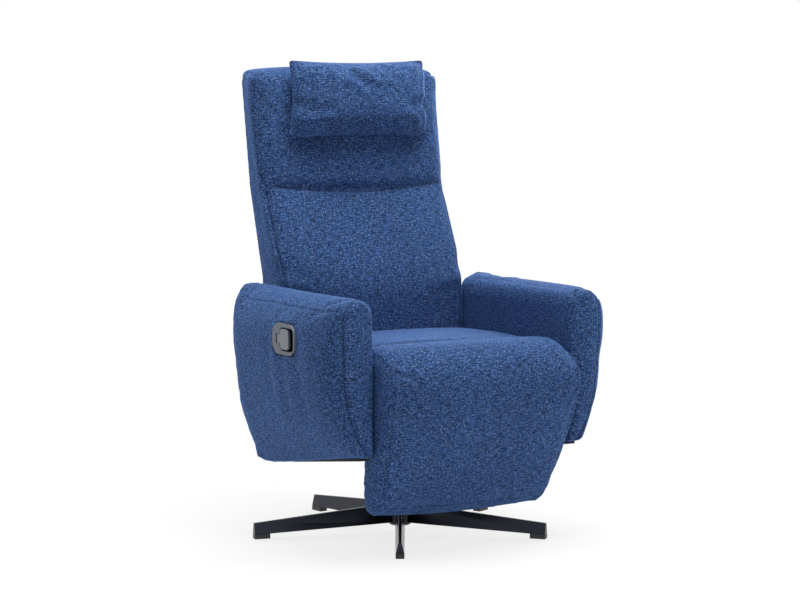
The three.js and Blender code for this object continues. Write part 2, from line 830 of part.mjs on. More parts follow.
for (const { name, sign } of sides) {
  const inner = bracketX;
  const outer = inner + back.bracketThickness;
  const foot = chassis.crossDepth / 2 - touch;
  const stand = polygon([
    [chassis.crossRearY - foot, crossHigh + touch],
    [chassis.crossRearY + foot, crossHigh + touch],
    [back.hingeY + back.bracketBoss, back.hingeZ],
    [back.hingeY, back.hingeZ + back.bracketBoss],
  ]);
  const xs = [sign * (tubeX - back.pinInset), sign * outer].sort((a, b) => a - b);
  const bossXs = [sign * inner, sign * outer].sort((a, b) => a - b);
  add(`recline_bracket_${name}`, 'blackSteel', join([
    plateOnSide(stand, sign, inner, outer),
    barAcrossX(back.bracketBoss, bossXs[0], bossXs[1], back.hingeY, back.hingeZ),
    barAcrossX(back.pinRadius, xs[0], xs[1], back.hingeY, back.hingeZ),
  ]));
}

// Rear apron between the arms, against the rails' ends and in front of the backrest's crank
const apronFront = chassis.railRear + touch;
add('rear_apron', 'fabric', block(
  [-armInner + touch, apronFront, apron.low],
  [armInner - touch, apronFront + apron.thickness, crossLow - touch],
));

// Seat: a frame that slides on the runners, its suspension, its cushion and the footrest's axle

const seatRailLow = runnerHigh + touch;
const seatRailHigh = seatRailLow + seat.railHeight;
const seatRailInner = (chassis.runnerSpacing - seat.railWidth) / 2;
const seatRailOuter = seatRailInner + seat.railWidth;
const hingeX = seatRailInner - footrest.hingeInset;
const webLow = seatRailHigh + touch;
const webHigh = webLow + seat.webThickness;
const bracketMiddle = chassis.runnerSpacing / 2;

for (const { name, sign } of sides) {
  const bracketInner = bracketMiddle - footrest.bracketThickness / 2;
  const bracketOuter = bracketMiddle + footrest.bracketThickness / 2;
  const bossXs = [sign * bracketInner, sign * bracketOuter].sort((a, b) => a - b);
  const foot = [seat.railFront + footrest.bracketFootInset, seatRailHigh - footrest.bracketFootDrop];
  const stand = linkOutline(foot, [footrest.axleY, footrest.axleZ], footrest.bracketWidth);
  add(`seat_rail_${name}`, 'blackSteel', join([
    sideBlock(sign, seatRailInner, seatRailOuter, seat.railFront, seat.railRear, seatRailLow, seatRailHigh),
    plateOnSide(stand, sign, bracketInner, bracketOuter),
    barAcrossX(footrest.bracketBoss, bossXs[0], bossXs[1], footrest.axleY, footrest.axleZ),
  ]));
}

const seatBars = [
  { name: 'seat_bar_front', y: seat.frontBarY },
  { name: 'seat_bar_rear', y: seat.rearBarY },
];
for (const { name, y } of seatBars) {
  const reach = seatRailInner - touch;
  add(name, 'blackSteel', block(
    [-reach, y - seat.barDepth / 2, seatRailHigh - seat.barThickness],
    [reach, y + seat.barDepth / 2, seatRailHigh],
  ));
}

add('seat_webbing', 'webbing', block(
  [-seatRailOuter, seat.webFront, webLow],
  [seatRailOuter, seat.railRear, webHigh],
));

// The seat cushion meets the nose of the footrest in a crease, and is hollow below it where the nose turns
const noseHollow = footrest.noseRadius + footrest.runningGap;
const creaseZ = seat.cushionTop + seat.cushionCrown - seat.cushionFrontFall;
const creaseY = footrest.axleY + Math.sqrt(noseHollow ** 2 - (creaseZ - footrest.axleZ) ** 2);
const seatCushionLow = webHigh + touch;

function seatCushion() {
  const height = seat.cushionTop - seatCushionLow;
  const half = [seat.cushionWidth / 2, (seat.cushionRear - creaseY) / 2, height / 2];
  const middleY = (seat.cushionRear + creaseY) / 2;
  const radiusAt = ([, y, z]) => {
    const upper = lerp(seat.cushionFrontRound, seat.cushionRound, clamp(y / half[1] + 1, 0, 1));
    return z > 0 ? upper : seat.cushionFootRound;
  };
  return softBlock(half, [10, 14, 8], radiusAt, (x, y, z) => {
    const toRear = y / half[1];
    const up = z / height + 0.5;
    const levelled = Math.min(toRear, 0) ** 4;
    const crown = seat.cushionCrown * (1 - (1 - levelled) * (x / half[0]) ** 2);
    const fall = toRear < 0 ? seat.cushionFrontFall * toRear ** 6 : seat.cushionRearFall * toRear ** 2;
    return [x, middleY + y, lerp(seatCushionLow, seat.cushionTop + crown - fall, up)];
  });
}

const noseClear = barAcrossX(
  noseHollow, -armInner, armInner, footrest.axleY, footrest.axleZ, footrest.noseSegments,
);
const belowNose = block(
  [-armInner, footrest.axleY, seatCushionLow - cutOverrun],
  [armInner, footrest.axleY + noseHollow, footrest.axleZ],
);
add('seat_cushion', 'fabric', cut(seatCushion(), [noseClear, belowNose]));

const axleReach = bracketMiddle - footrest.bracketThickness / 2 - touch;
add('footrest_axle', 'zincSteel', barAcrossX(
  footrest.axleRadius, -axleReach, axleReach, footrest.axleY, footrest.axleZ,
));

// Footrest strut: a gas spring under the seat that swings the footrest out

function footrestCrankAt(degrees) {
  return [
    footrest.axleY + footrest.crankRadius * Math.cos(radians(degrees)),
    footrest.axleZ + footrest.crankRadius * Math.sin(radians(degrees)),
  ];
}

const footrestCrank = footrestCrankAt(footrest.crankDegrees + footrest.leanDegrees);
const footrestRodX = hingeX + footrest.hingeThickness + touch + strut.rodRadius;
const footrestTubeRear = seat.rearBarY - seat.barDepth / 2 - touch;

add('footrest_strut_tube', 'blackSteel', strutTube(
  strut.footrestTubeRadius, footrestTubeRear, strut.footrestTubeFront, strut.footrestTubeWall, footrestRodX,
  footrestCrank[1],
));
add('footrest_strut_rod', 'chrome', strutRod(
  strut.footrestRodRear, footrestCrank[0], footrestRodX, footrestCrank[1],
));

// Footrest: a board on two hinge arms, padded in front and over the nose, and lined behind. Its pieces are
// shaped hanging straight down from the axle and then swung back to where the folded footrest rests.

function swungBack(geometry) {
  return geometry.translate(0, -footrest.axleY, -footrest.axleZ)
    .rotateX(radians(footrest.leanDegrees))
    .translate(0, footrest.axleY, footrest.axleZ);
}

const boardFrontFace = footrest.axleY - footrest.boardThickness;
const boardTop = footrest.axleZ - footrest.boardTopDrop;
const boardLow = footrest.axleZ - footrest.boardLowDrop;

function footrestBoardOutline(margin) {
  return polygon([
    [-footrest.boardLowWidth / 2 - margin, boardLow - margin],
    [footrest.boardLowWidth / 2 + margin, boardLow - margin],
    [footrest.boardTopWidth / 2 + margin, boardTop + margin],
    [-footrest.boardTopWidth / 2 - margin, boardTop + margin],
  ]);
}

// The pad is a box bent round the axle: u runs across it, v from the nose's end over the front and down to
// the lower edge, and w from its inner to its outer face.
function footrestPad() {
  const panelSteps = padStationShares.length - 1;
  const steps = padNoseSteps + panelSteps;
  const geometry = new THREE.BoxGeometry(2, steps, 1, 12, steps, 3);
  const crease = Math.atan2(creaseZ - footrest.axleZ, creaseY - footrest.axleY);
  const start = crease + radians(footrest.noseGapDegrees - footrest.leanDegrees);
  return reshape(geometry, (u, v, w) => {
    const station = Math.round(v + steps / 2);
    const across = Math.sin((u * Math.PI) / 2);
    const edge = (1 - Math.abs(across) ** padEdgePower) ** (1 / padEdgePower);
    const fullness = lerp(padEdgeShare, 1, edge);
    const outward = w + 0.5;
    if (station < padNoseSteps) {
      const share = station / padNoseSteps;
      const outerAngle = lerp(start, Math.PI, share);
      const innerAngle = lerp(start, 1.5 * Math.PI, share);
      const radius = lerp(footrest.hollowRadius, footrest.noseRadius, fullness);
      const inner = [
        footrest.axleY + footrest.hollowRadius * Math.cos(innerAngle),
        footrest.axleZ + footrest.hollowRadius * Math.sin(innerAngle),
      ];
      const outer = [
        footrest.axleY + radius * Math.cos(outerAngle),
        footrest.axleZ + radius * Math.sin(outerAngle),
      ];
      return [
        (across * footrest.width) / 2, lerp(inner[0], outer[0], outward), lerp(inner[1], outer[1], outward),
      ];
    }
    const [drop, thicknessShare, widthShare] = padStationShares[station - padNoseSteps];
    const lowest = footrest.axleZ - footrest.length + footrest.bottomBow * across ** 2;
    const innerZ = lerp(footrest.axleZ - footrest.hollowRadius, lowest, drop);
    const outerZ = lerp(footrest.axleZ, lowest, drop);
    const padding = fullness * thicknessShare + (1 - thicknessShare) * edge;
    const thickness = lerp(footrest.hollowRadius, footrest.noseRadius * thicknessShare, padding);
    const outerY = footrest.axleY - Math.max(thickness, 0);
    return [
      (across * widthShare * footrest.width) / 2, lerp(footrest.axleY, outerY, outward),
      lerp(innerZ, outerZ, outward),
    ];
  });
}

const boardPocket = plateAcrossY(
  footrestBoardOutline(touch), boardFrontFace - touch, footrest.axleY + cutOverrun,
);
const hollowReach = bracketMiddle + footrest.bracketThickness / 2 + footrest.runningGap;
const padHollow = barAcrossX(
  footrest.hollowRadius, -hollowReach, hollowReach, footrest.axleY, footrest.axleZ,
);
const padEnds = sides.map(({ sign }) => {
  const xs = [sign * hollowReach, sign * (footrest.width / 2 - touch)].sort((a, b) => a - b);
  return barAcrossX(footrest.hollowRadius + touch, xs[0], xs[1], footrest.axleY, footrest.axleZ);
});
add('footrest_pad', 'fabric', swungBack(
  cut(join([mirrored(footrestPad()), ...padEnds]), [boardPocket, padHollow]),
));
add('footrest_board', 'plywood', swungBack(
  plateAcrossY(footrestBoardOutline(0), boardFrontFace, footrest.axleY),
));
add('footrest_lining', 'blackCloth', swungBack(plateAcrossY(
  footrestBoardOutline(footrest.liningMargin - touch), footrest.axleY + touch,
  footrest.axleY + touch + footrest.liningThickness,
)));

for (const { name, sign } of sides) {
  const inner = hingeX;
  const outer = inner + footrest.hingeThickness;
  const xs = [sign * inner, sign * outer].sort((a, b) => a - b);
  const armFront = footrest.axleY + footrest.liningThickness + 2 * touch;
  const armLow = footrest.axleZ - footrest.hingeArmDrop;
  const pieces = [
    plateOnSide(polygon([
      [armFront, armLow],
      [armFront + footrest.hingeArmDepth, armLow],
      [armFront + footrest.hingeArmDepth, footrest.axleZ],
      [armFront, footrest.axleZ],
    ]), sign, inner, outer),
    barAcrossX(footrest.hingeBoss, xs[0], xs[1], footrest.axleY, footrest.axleZ),
  ];
  if (sign > 0) {
    const crank = footrestCrankAt(footrest.crankDegrees);
    pieces.push(
      plateOnSide(
        linkOutline([footrest.axleY, footrest.axleZ], crank, footrest.crankArmWidth), sign, inner, outer,
      ),
      barAcrossX(footrest.crankEye, xs[0], xs[1], ...crank),
    );
  }
  const bore = barAcrossX(
    footrest.axleRadius + running, xs[0] - cutOverrun, xs[1] + cutOverrun, footrest.axleY, footrest.axleZ,
  );
  add(`footrest_hinge_${name}`, 'blackSteel', swungBack(cut(join(pieces), [bore])));
}

// Backrest outlines at the side edges, as functions of height

const lumbarSlope = Math.tan(radians(back.lumbarLean));
const headSlope = Math.tan(radians(back.headLean));
const kneeFront = back.frontFoot + lumbarSlope * (kneeZ - back.leanStart);

const backFrontTable = [
  [back.bottom, back.frontFoot],
  [back.leanStart, back.frontFoot],
  [kneeZ, kneeFront],
  [back.top, kneeFront + headSlope * (back.top - kneeZ)],
];
const backRearTable = [
  [back.bottom, back.frontFoot + back.depthFoot],
  [back.leanStart, back.frontFoot + back.depthLeanStart],
  [kneeZ, kneeFront + back.depthKnee],
  [back.top, kneeFront + headSlope * (back.top - kneeZ) + back.depthTop],
];
const backFront = (z) => readTable(backFrontTable, z, 1);
const backRear = (z) => readTable(backRearTable, z, 1);
const cushionRear = (z) => backRear(z) - back.coverThickness - touch;
const kinkHeights = [back.bottom, back.leanStart, kneeZ, back.top];
const backCrown = (x) => back.crown * (1 - Math.abs(x / (back.width / 2)) ** back.crownPower);

// One padded section of the backrest between two heights, which may depend on x
function backSection(lowAt, highAt, cells, tuckTop) {
  const half = [back.width / 2, (back.depthFoot + back.crown) / 2, (highAt(0) - lowAt(0)) / 2];
  const radiusAt = ([, y]) => (y < 0 ? back.frontRound : back.rearRound);
  return softBlock(half, cells, radiusAt, (x, y, z) => {
    const up = (z + half[2]) / (2 * half[2]);
    const height = lerp(lowAt(x), highAt(x), up);
    const depth = (y + half[1]) / (2 * half[1]);
    const tuck = tuckTop * up ** 8;
    const front = backFront(height) - backCrown(x) + tuck;
    return [x, lerp(front, cushionRear(height) + back.rearRound, depth), height];
  });
}

const crease = (x) => kneeZ + back.creaseRise - back.creaseSag * (1 - Math.abs(x / (back.width / 2)) ** 2);
const pocketTop = tubeTop + back.pocketSpare;
const framePocket = plateAcrossX(polygon([
  [back.pocketMouthY, back.bottom - cutOverrun],
  [cushionRear(back.bottom) + cutOverrun, back.bottom - cutOverrun],
  [cushionRear(back.leanStart) + cutOverrun, back.leanStart],
  [cushionRear(kneeZ) + cutOverrun, kneeZ],
  [cushionRear(pocketTop) + cutOverrun, pocketTop],
  [cushionRear(pocketTop) - back.pocketDepth / 2 - back.tubeRadius - touch, pocketTop],
  [cushionRear(kneeZ) - back.pocketDepth, kneeZ],
  [cushionRear(back.leanStart) - back.pocketDepth, back.leanStart],
  [cushionRear(back.pocketMouthTop) - back.pocketDepth, back.pocketMouthTop],
  [back.pocketMouthY, back.pocketMouthTop],
]), -pocketReach, pocketReach);

const rearTrim = plateAcrossX(polygon([
  [cushionRear(back.bottom), back.bottom - cutOverrun],
  [cushionRear(back.bottom) + back.depthFoot, back.bottom - cutOverrun],
  [cushionRear(back.top) + back.depthFoot, back.top + cutOverrun],
  [cushionRear(back.top), back.top + cutOverrun],
  ...[...kinkHeights].reverse().map((z) => [cushionRear(z), z]),
]), -back.width, back.width);

add('lumbar_cushion', 'fabric', cut(
  backSection(() => back.bottom, (x) => crease(x) - touch, [12, 6, 16], back.creaseTuck),
  [rearTrim, framePocket],
));
add('head_cushion', 'fabric', cut(
  backSection((x) => crease(x) + touch, () => back.top, [12, 6, 12], 0), [rearTrim, framePocket],
));

// The padded cover that closes the backrest behind
const coverCrown = (x) => back.coverCrown * (1 - (x / (back.width / 2)) ** 2);
function backCover() {
  const heights = [
    back.bottom + back.coverInset, back.leanStart, lerp(back.leanStart, kneeZ, 0.5), kneeZ,
    lerp(kneeZ, back.top, 0.5), back.top - 2 * back.coverInset,
  ];
  const steps = heights.length - 1;
  const geometry = new THREE.BoxGeometry(2, 1, steps, 8, 1, steps);
  return reshape(geometry, (u, v, w) => {
    const x = u * (back.width / 2 - back.coverInset);
    const height = heights[Math.round(w + steps / 2)];
    const inner = backRear(height) - back.coverThickness;
    return [x, v < 0 ? inner : backRear(height) + coverCrown(x), height];
  });
}
add('back_cover', 'fabric', backCover());

// Backrest frame: two side tubes that carry the hinge pins, a top tube and a lower tube with the crank

const tubeY = (z) => cushionRear(z) - back.pocketDepth / 2;
function sideTube(sign) {
  const x = sign * tubeX;
  const heights = [back.pocketMouthTop, back.leanStart, kneeZ, tubeTop];
  const route = new THREE.CatmullRomCurve3([
    new THREE.Vector3(x, back.hingeY, back.tubeBottom),
    new THREE.Vector3(x, back.hingeY, back.hingeZ + back.tubeRadius),
    ...heights.map((z) => new THREE.Vector3(x, tubeY(z), z)),
  ], false, 'centripetal');
  const section = new THREE.Shape();
  section.absarc(0, 0, back.tubeRadius, 0, 2 * Math.PI);
  const tube = new THREE.ExtrudeGeometry(section, {
    steps: 22, curveSegments: 5, extrudePath: route, bevelEnabled: false,
  });
  const holeInner = tubeX - back.pinInset - running;
  const xs = [sign * holeInner, sign * (bracketX + cutOverrun)].sort((a, b) => a - b);
  return cut(tube, [barAcrossX(back.pinRadius + running, xs[0], xs[1], back.hingeY, back.hingeZ)]);
}
for (const { name, sign } of sides) {
  add(`back_tube_${name}`, 'blackSteel', sideTube(sign));
}

const backTubeGap = tubeX - back.tubeRadius - touch;
const topTubeZ = tubeTop - 2 * back.lowerTubeRadius;
add('back_top_tube', 'blackSteel', barAcrossX(
  back.lowerTubeRadius, -backTubeGap, backTubeGap, tubeY(topTubeZ), topTubeZ,
));
add('back_lower_tube', 'blackSteel', join([
  barAcrossX(back.lowerTubeRadius, -backTubeGap, backTubeGap, back.hingeY, back.hingeZ),
  plateAcrossX(
    linkOutline([back.hingeY, back.hingeZ], reclineCrank, back.crankArmWidth),
    -back.crankThickness / 2, back.crankThickness / 2,
  ),
  barAcrossX(strut.eyeRadius, -back.crankThickness / 2, back.crankThickness / 2, ...reclineCrank),
]));

// Head pillow with its strap over the top and its counterweight behind

const frontSlide = new THREE.Vector2(Math.sin(radians(back.headLean)), Math.cos(radians(back.headLean)));
const pillowMiddle = back.top - pillow.drop;
const strapFrontLow = back.top - pillow.strapFrontDrop;
const strapRearHigh = back.top - pillow.strapRearDrop;
const weightMiddle = back.top - pillow.weightDrop;
const pillowBackY = backFront(pillowMiddle) - back.crown;
const pillowRearBulge = pillow.seamOffset - pillow.seamThickness / 2 - pillow.strapThickness
  - 2 * pillow.strapGap;

function headPillow() {
  return reshape(closed(new THREE.BoxGeometry(2, 2, 2, 14, 2, 10)), (u, side, v) => {
    const a = Math.sin((u * Math.PI) / 2);
    const b = Math.sin((v * Math.PI) / 2);
    const full = ((1 - a ** 4) * (1 - b ** 4)) ** 0.55;
    const bulge = side < 0 ? pillow.frontBulge : pillowRearBulge;
    const outward = -side * (pillow.seamThickness / 2 + bulge * full);
    const normal = pillow.seamOffset + outward;
    const x = a * (pillow.width / 2 - pillow.sideDraw * (1 - b ** 2));
    const along = b * (pillow.height / 2 - pillow.topDraw * (1 - a ** 2));
    return [
      x,
      pillowBackY + along * frontSlide.x - normal * frontSlide.y,
      pillowMiddle + along * frontSlide.y + normal * frontSlide.x,
    ];
  });
}
add('head_pillow', 'fabric', headPillow());

// A flat band in (y, z): a polyline and its copy, one strap thickness further out.
function bandOutline(points, thickness) {
  const outer = points.map(([y, z], i) => {
    const before = points[Math.max(i - 1, 0)];
    const after = points[Math.min(i + 1, points.length - 1)];
    const direction = new THREE.Vector2(after[0] - before[0], after[1] - before[1]).normalize();
    return [y - direction.y * thickness, z + direction.x * thickness];
  });
  return polygon([...points, ...outer.reverse()]);
}

const centreFront = (z) => backFront(z) - back.crown - pillow.strapGap;
const centreRear = (z) => backRear(z) + back.coverCrown + pillow.strapGap;
const strapCornerZ = back.top - back.frontRound;
const strapCornerSteps = 5;
const headDepth = cushionRear(back.top) + back.rearRound - backFront(back.top) + back.crown;
const cornerReach = (back.frontRound * headDepth) / (back.depthFoot + back.crown);
const strapCorner = Array.from({ length: strapCornerSteps + 1 }, (_, i) => {
  const angle = (i / strapCornerSteps) * (Math.PI / 2);
  const z = strapCornerZ + back.frontRound * Math.sin(angle);
  const radius = back.frontRound + pillow.strapGap;
  return [
    backFront(z) - back.crown + cornerReach - (cornerReach + pillow.strapGap) * Math.cos(angle),
    strapCornerZ + radius * Math.sin(angle),
  ];
});
const strapRun = [
  [centreFront(strapFrontLow), strapFrontLow],
  ...strapCorner,
  [cushionRear(back.top), back.top + pillow.strapGap],
  [centreRear(back.top - back.coverInset) - back.coverInset, back.top - back.coverInset],
  [centreRear(back.top - 2 * back.coverInset), back.top - 2 * back.coverInset],
  [centreRear(strapRearHigh), strapRearHigh],
];
add('pillow_strap', 'webbing', plateAcrossX(
  bandOutline(strapRun, pillow.strapThickness), -pillow.strapWidth / 2, pillow.strapWidth / 2,
));

const weightHigh = weightMiddle + pillow.weightHeight / 2;
add('pillow_strap_rear', 'webbing', plateAcrossX(
  bandOutline([
    [centreRear(strapRearHigh - touch), strapRearHigh - touch],
    [centreRear(weightHigh - pillow.weightRound), weightHigh - pillow.weightRound],
  ], pillow.strapThickness),
  -pillow.strapWidth / 2, pillow.strapWidth / 2,
));

function pillowWeight() {
  const half = [pillow.weightWidth / 2, pillow.weightThickness / 2, pillow.weightHeight / 2];
  const lean = Math.atan2(backRear(back.top) - backRear(kneeZ), back.top - kneeZ);
  const offset = pillow.strapThickness + pillow.strapGap + touch + half[1];
  return softBlock(half, [8, 4, 4], () => pillow.weightRound, (x, y, z) => [
    x,
    centreRear(weightMiddle) + offset * Math.cos(lean) + y * Math.cos(lean) + z * Math.sin(lean),
    weightMiddle - y * Math.sin(lean) + z * Math.cos(lean),
  ]);
}
add('pillow_weight', 'fabric', pillowWeight());

// The middle of the bounding box goes over the origin

const frontReach = footrest.noseRadius - footrest.axleY;
const rearReach = centreRear(weightHigh) + pillow.strapThickness + pillow.weightThickness;
chair.position.y = (frontReach - rearReach) / 2;
chair.updateMatrixWorld(true);

export default chair;
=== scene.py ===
"""Star base swivel recliner: upholstery, finishes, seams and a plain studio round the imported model.

The chair faces -Y and stands on z = 0. The sitter's right arm, which carries the release handle, is at -X.
Sizes in the classes are millimetres; meshes are in metres.
"""

from __future__ import annotations

import json
import logging
import math
from collections.abc import Callable, Iterable, Sequence
from dataclasses import dataclass, field
from enum import Enum

import bmesh
import bpy
import numpy as np
from mathutils import Matrix, Vector
from mathutils.bvhtree import BVHTree

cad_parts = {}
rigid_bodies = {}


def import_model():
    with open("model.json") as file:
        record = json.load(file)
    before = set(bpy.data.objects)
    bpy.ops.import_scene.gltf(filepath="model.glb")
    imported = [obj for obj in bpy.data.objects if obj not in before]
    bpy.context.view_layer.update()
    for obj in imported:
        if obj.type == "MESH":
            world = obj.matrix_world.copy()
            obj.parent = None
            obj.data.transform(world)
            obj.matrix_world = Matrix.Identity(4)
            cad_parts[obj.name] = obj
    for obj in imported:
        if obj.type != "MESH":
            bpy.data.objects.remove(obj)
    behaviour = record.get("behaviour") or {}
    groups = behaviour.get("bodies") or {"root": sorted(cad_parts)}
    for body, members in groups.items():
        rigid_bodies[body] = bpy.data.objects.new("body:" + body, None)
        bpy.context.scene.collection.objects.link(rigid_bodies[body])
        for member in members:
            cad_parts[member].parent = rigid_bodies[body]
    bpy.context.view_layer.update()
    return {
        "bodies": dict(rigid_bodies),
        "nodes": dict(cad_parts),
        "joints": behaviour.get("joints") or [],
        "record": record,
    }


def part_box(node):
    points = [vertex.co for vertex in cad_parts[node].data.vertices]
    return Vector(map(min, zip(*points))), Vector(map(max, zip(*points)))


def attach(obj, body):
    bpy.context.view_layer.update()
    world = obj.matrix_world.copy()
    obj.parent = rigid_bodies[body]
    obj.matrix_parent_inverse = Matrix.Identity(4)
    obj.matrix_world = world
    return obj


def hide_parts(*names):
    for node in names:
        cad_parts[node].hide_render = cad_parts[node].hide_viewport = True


log = logging.getLogger("recliner")

MM = 0.001
CLOTH_MAP = "cloth"
# Per-point painted shade in the seams' gaps and creases, which darkens the cloth's colour.
PAINTED_SEAM_SHADE = "painted_seam_shade"


class Body(Enum):
    """The bodies of the chair that this script's pieces ride on."""

    CHASSIS = "chassis"
    SEAT = "seat"
    FOOTREST = "footrest"
    BACKREST = "backrest"
    PILLOW = "pillow"
    COUNTERWEIGHT = "counterweight"


class Side(Enum):
    """The sitter's right is at -X and the left at +X."""

    RIGHT = -1
    LEFT = 1

    @property
    def word(self) -> str:
        """The side's name as the nodes carry it."""
        return self.name.lower()


# --------------------------------------------------------------------------------------------------
# Colour and shader nodes
# --------------------------------------------------------------------------------------------------

Socket = bpy.types.NodeSocket
Tree = bpy.types.NodeTree
Inputs = dict[str | int, object]

WAVE_SCALE = 0.314  # the scale at which a wave texture has one band to the unit


def linear_rgba(colour: str) -> tuple[float, float, float, float]:
    """Turns an sRGB colour into the linear one that a shader socket takes.

    Args:
        colour: A hex colour such as "#3a5488".

    Returns:
        Linear red, green, blue and an alpha of 1.
    """
    channels = [int(colour[start : start + 2], 16) / 255 for start in (1, 3, 5)]
    linear = [c / 12.92 if c <= 0.04045 else ((c + 0.055) / 1.055) ** 2.4 for c in channels]
    return linear[0], linear[1], linear[2], 1.0


def add_node(tree: Tree, kind: str, inputs: Inputs | None = None, **settings: object) -> bpy.types.Node:
    """Adds a node with its settings, and sets or links its inputs.

    Args:
        tree: The node tree.
        kind: The node's type name.
        inputs: Input name or number, and the value or the output socket that goes into it.
        **settings: The node's own properties.

    Returns:
        The new node.
    """
    node = tree.nodes.new(kind)
    for name, value in settings.items():
        setattr(node, name, value)
    for name, value in (inputs or {}).items():
        socket = node.inputs[name]
        if isinstance(value, Socket):
            tree.links.new(value, socket)
        else:
            socket.default_value = value
    return node


def object_place(tree: Tree) -> Socket:
    """The place on the piece, in its own metres."""
    return add_node(tree, "ShaderNodeTexCoord").outputs["Object"]


def cloth_place(tree: Tree) -> Socket:
    """The place on the piece's cloth map, in metres."""
    return add_node(tree, "ShaderNodeUVMap", uv_map=CLOTH_MAP).outputs["UV"]


def add_maths(tree: Tree, operation: str, *values: float | Socket) -> Socket:
    """Adds a maths node on the values and returns its result."""
    return add_node(tree, "ShaderNodeMath", dict(enumerate(values)), operation=operation).outputs[0]


def add_range(
    tree: Tree, value: Socket, low: float, high: float, start: float = 0.0, end: float = 1.0
) -> Socket:
    """Maps a value from start and end to low and high, and returns the result."""
    inputs = {"Value": value, "From Min": start, "From Max": end, "To Min": low, "To Max": high}
    return add_node(tree, "ShaderNodeMapRange", inputs).outputs[0]


def add_noise(tree: Tree, place: Socket, scale: float, detail: float, **inputs: float) -> Socket:
    """Adds noise.

    Args:
        tree: The node tree.
        place: Where the noise is read, in metres.
        scale: How many spots there are to the metre.
        detail: Its octaves.
        **inputs: Its other inputs.

    Returns:
        The noise's value.
    """
    settings = {"Vector": place, "Scale": scale, "Detail": detail, **inputs}
    return add_node(tree, "ShaderNodeTexNoise", settings).outputs[0]


def add_waves(tree: Tree, place: Socket, pitch: float, direction: str, **inputs: float) -> Socket:
    """Adds bands.

    Args:
        tree: The node tree.
        place: Where the bands are read, in metres.
        pitch: Millimetres between the bands.
        direction: The axis that they lie across.
        **inputs: The texture's other inputs.

    Returns:
        The bands' value.
    """
    settings = {"Vector": place, "Scale": WAVE_SCALE / (pitch * MM), **inputs}
    return add_node(tree, "ShaderNodeTexWave", settings, bands_direction=direction).outputs[1]


def add_ramp(tree: Tree, value: Socket, stops: Sequence[tuple[float, str]]) -> Socket:
    """Turns a value into a colour.

    Args:
        tree: The node tree.
        value: The value.
        stops: Position and hex colour of each stop, in order.

    Returns:
        The colour.
    """
    ramp = add_node(tree, "ShaderNodeValToRGB", {"Fac": value})
    elements = ramp.color_ramp.elements
    while len(elements) < len(stops):
        elements.new(1.0)
    for element, (position, colour) in zip(elements, stops, strict=True):
        element.position = position
        element.color = linear_rgba(colour)
    return ramp.outputs[0]


def add_relief(tree: Tree, height: Socket, strength: float, distance: float) -> Socket:
    """Turns a height into a bumped normal.

    Args:
        tree: The node tree.
        height: The height.
        strength: How much of the bump is shown.
        distance: Metres between a height of 0 and of 1.

    Returns:
        The normal.
    """
    inputs = {"Height": height, "Strength": strength, "Distance": distance}
    return add_node(tree, "ShaderNodeBump", inputs).outputs[0]


# --------------------------------------------------------------------------------------------------
# Finishes
# --------------------------------------------------------------------------------------------------


@dataclass(frozen=True)
class Finish:
    """A finish of the chair: a material's name and the record's slot that it belongs to."""

    title: str
    slot: str

    def shade(self, tree: Tree) -> Inputs:
        """Adds the nodes of this finish. A subclass says how.

        Args:
            tree: The material's node tree.

        Returns:
            The inputs of the material's Principled shader.
        """
        raise NotImplementedError

    def material(self) -> bpy.types.Material:
        """Returns the material, made at its first use."""
        found = bpy.data.materials.get(self.title)
        if found is not None:
            return found
        made = bpy.data.materials.new(self.title)
        made.use_nodes = True
        tree = made.node_tree
        tree.nodes.clear()
        shader = add_node(tree, "ShaderNodeBsdfPrincipled", self.shade(tree))
        add_node(tree, "ShaderNodeOutputMaterial", {"Surface": shader.outputs["BSDF"]})
        return made


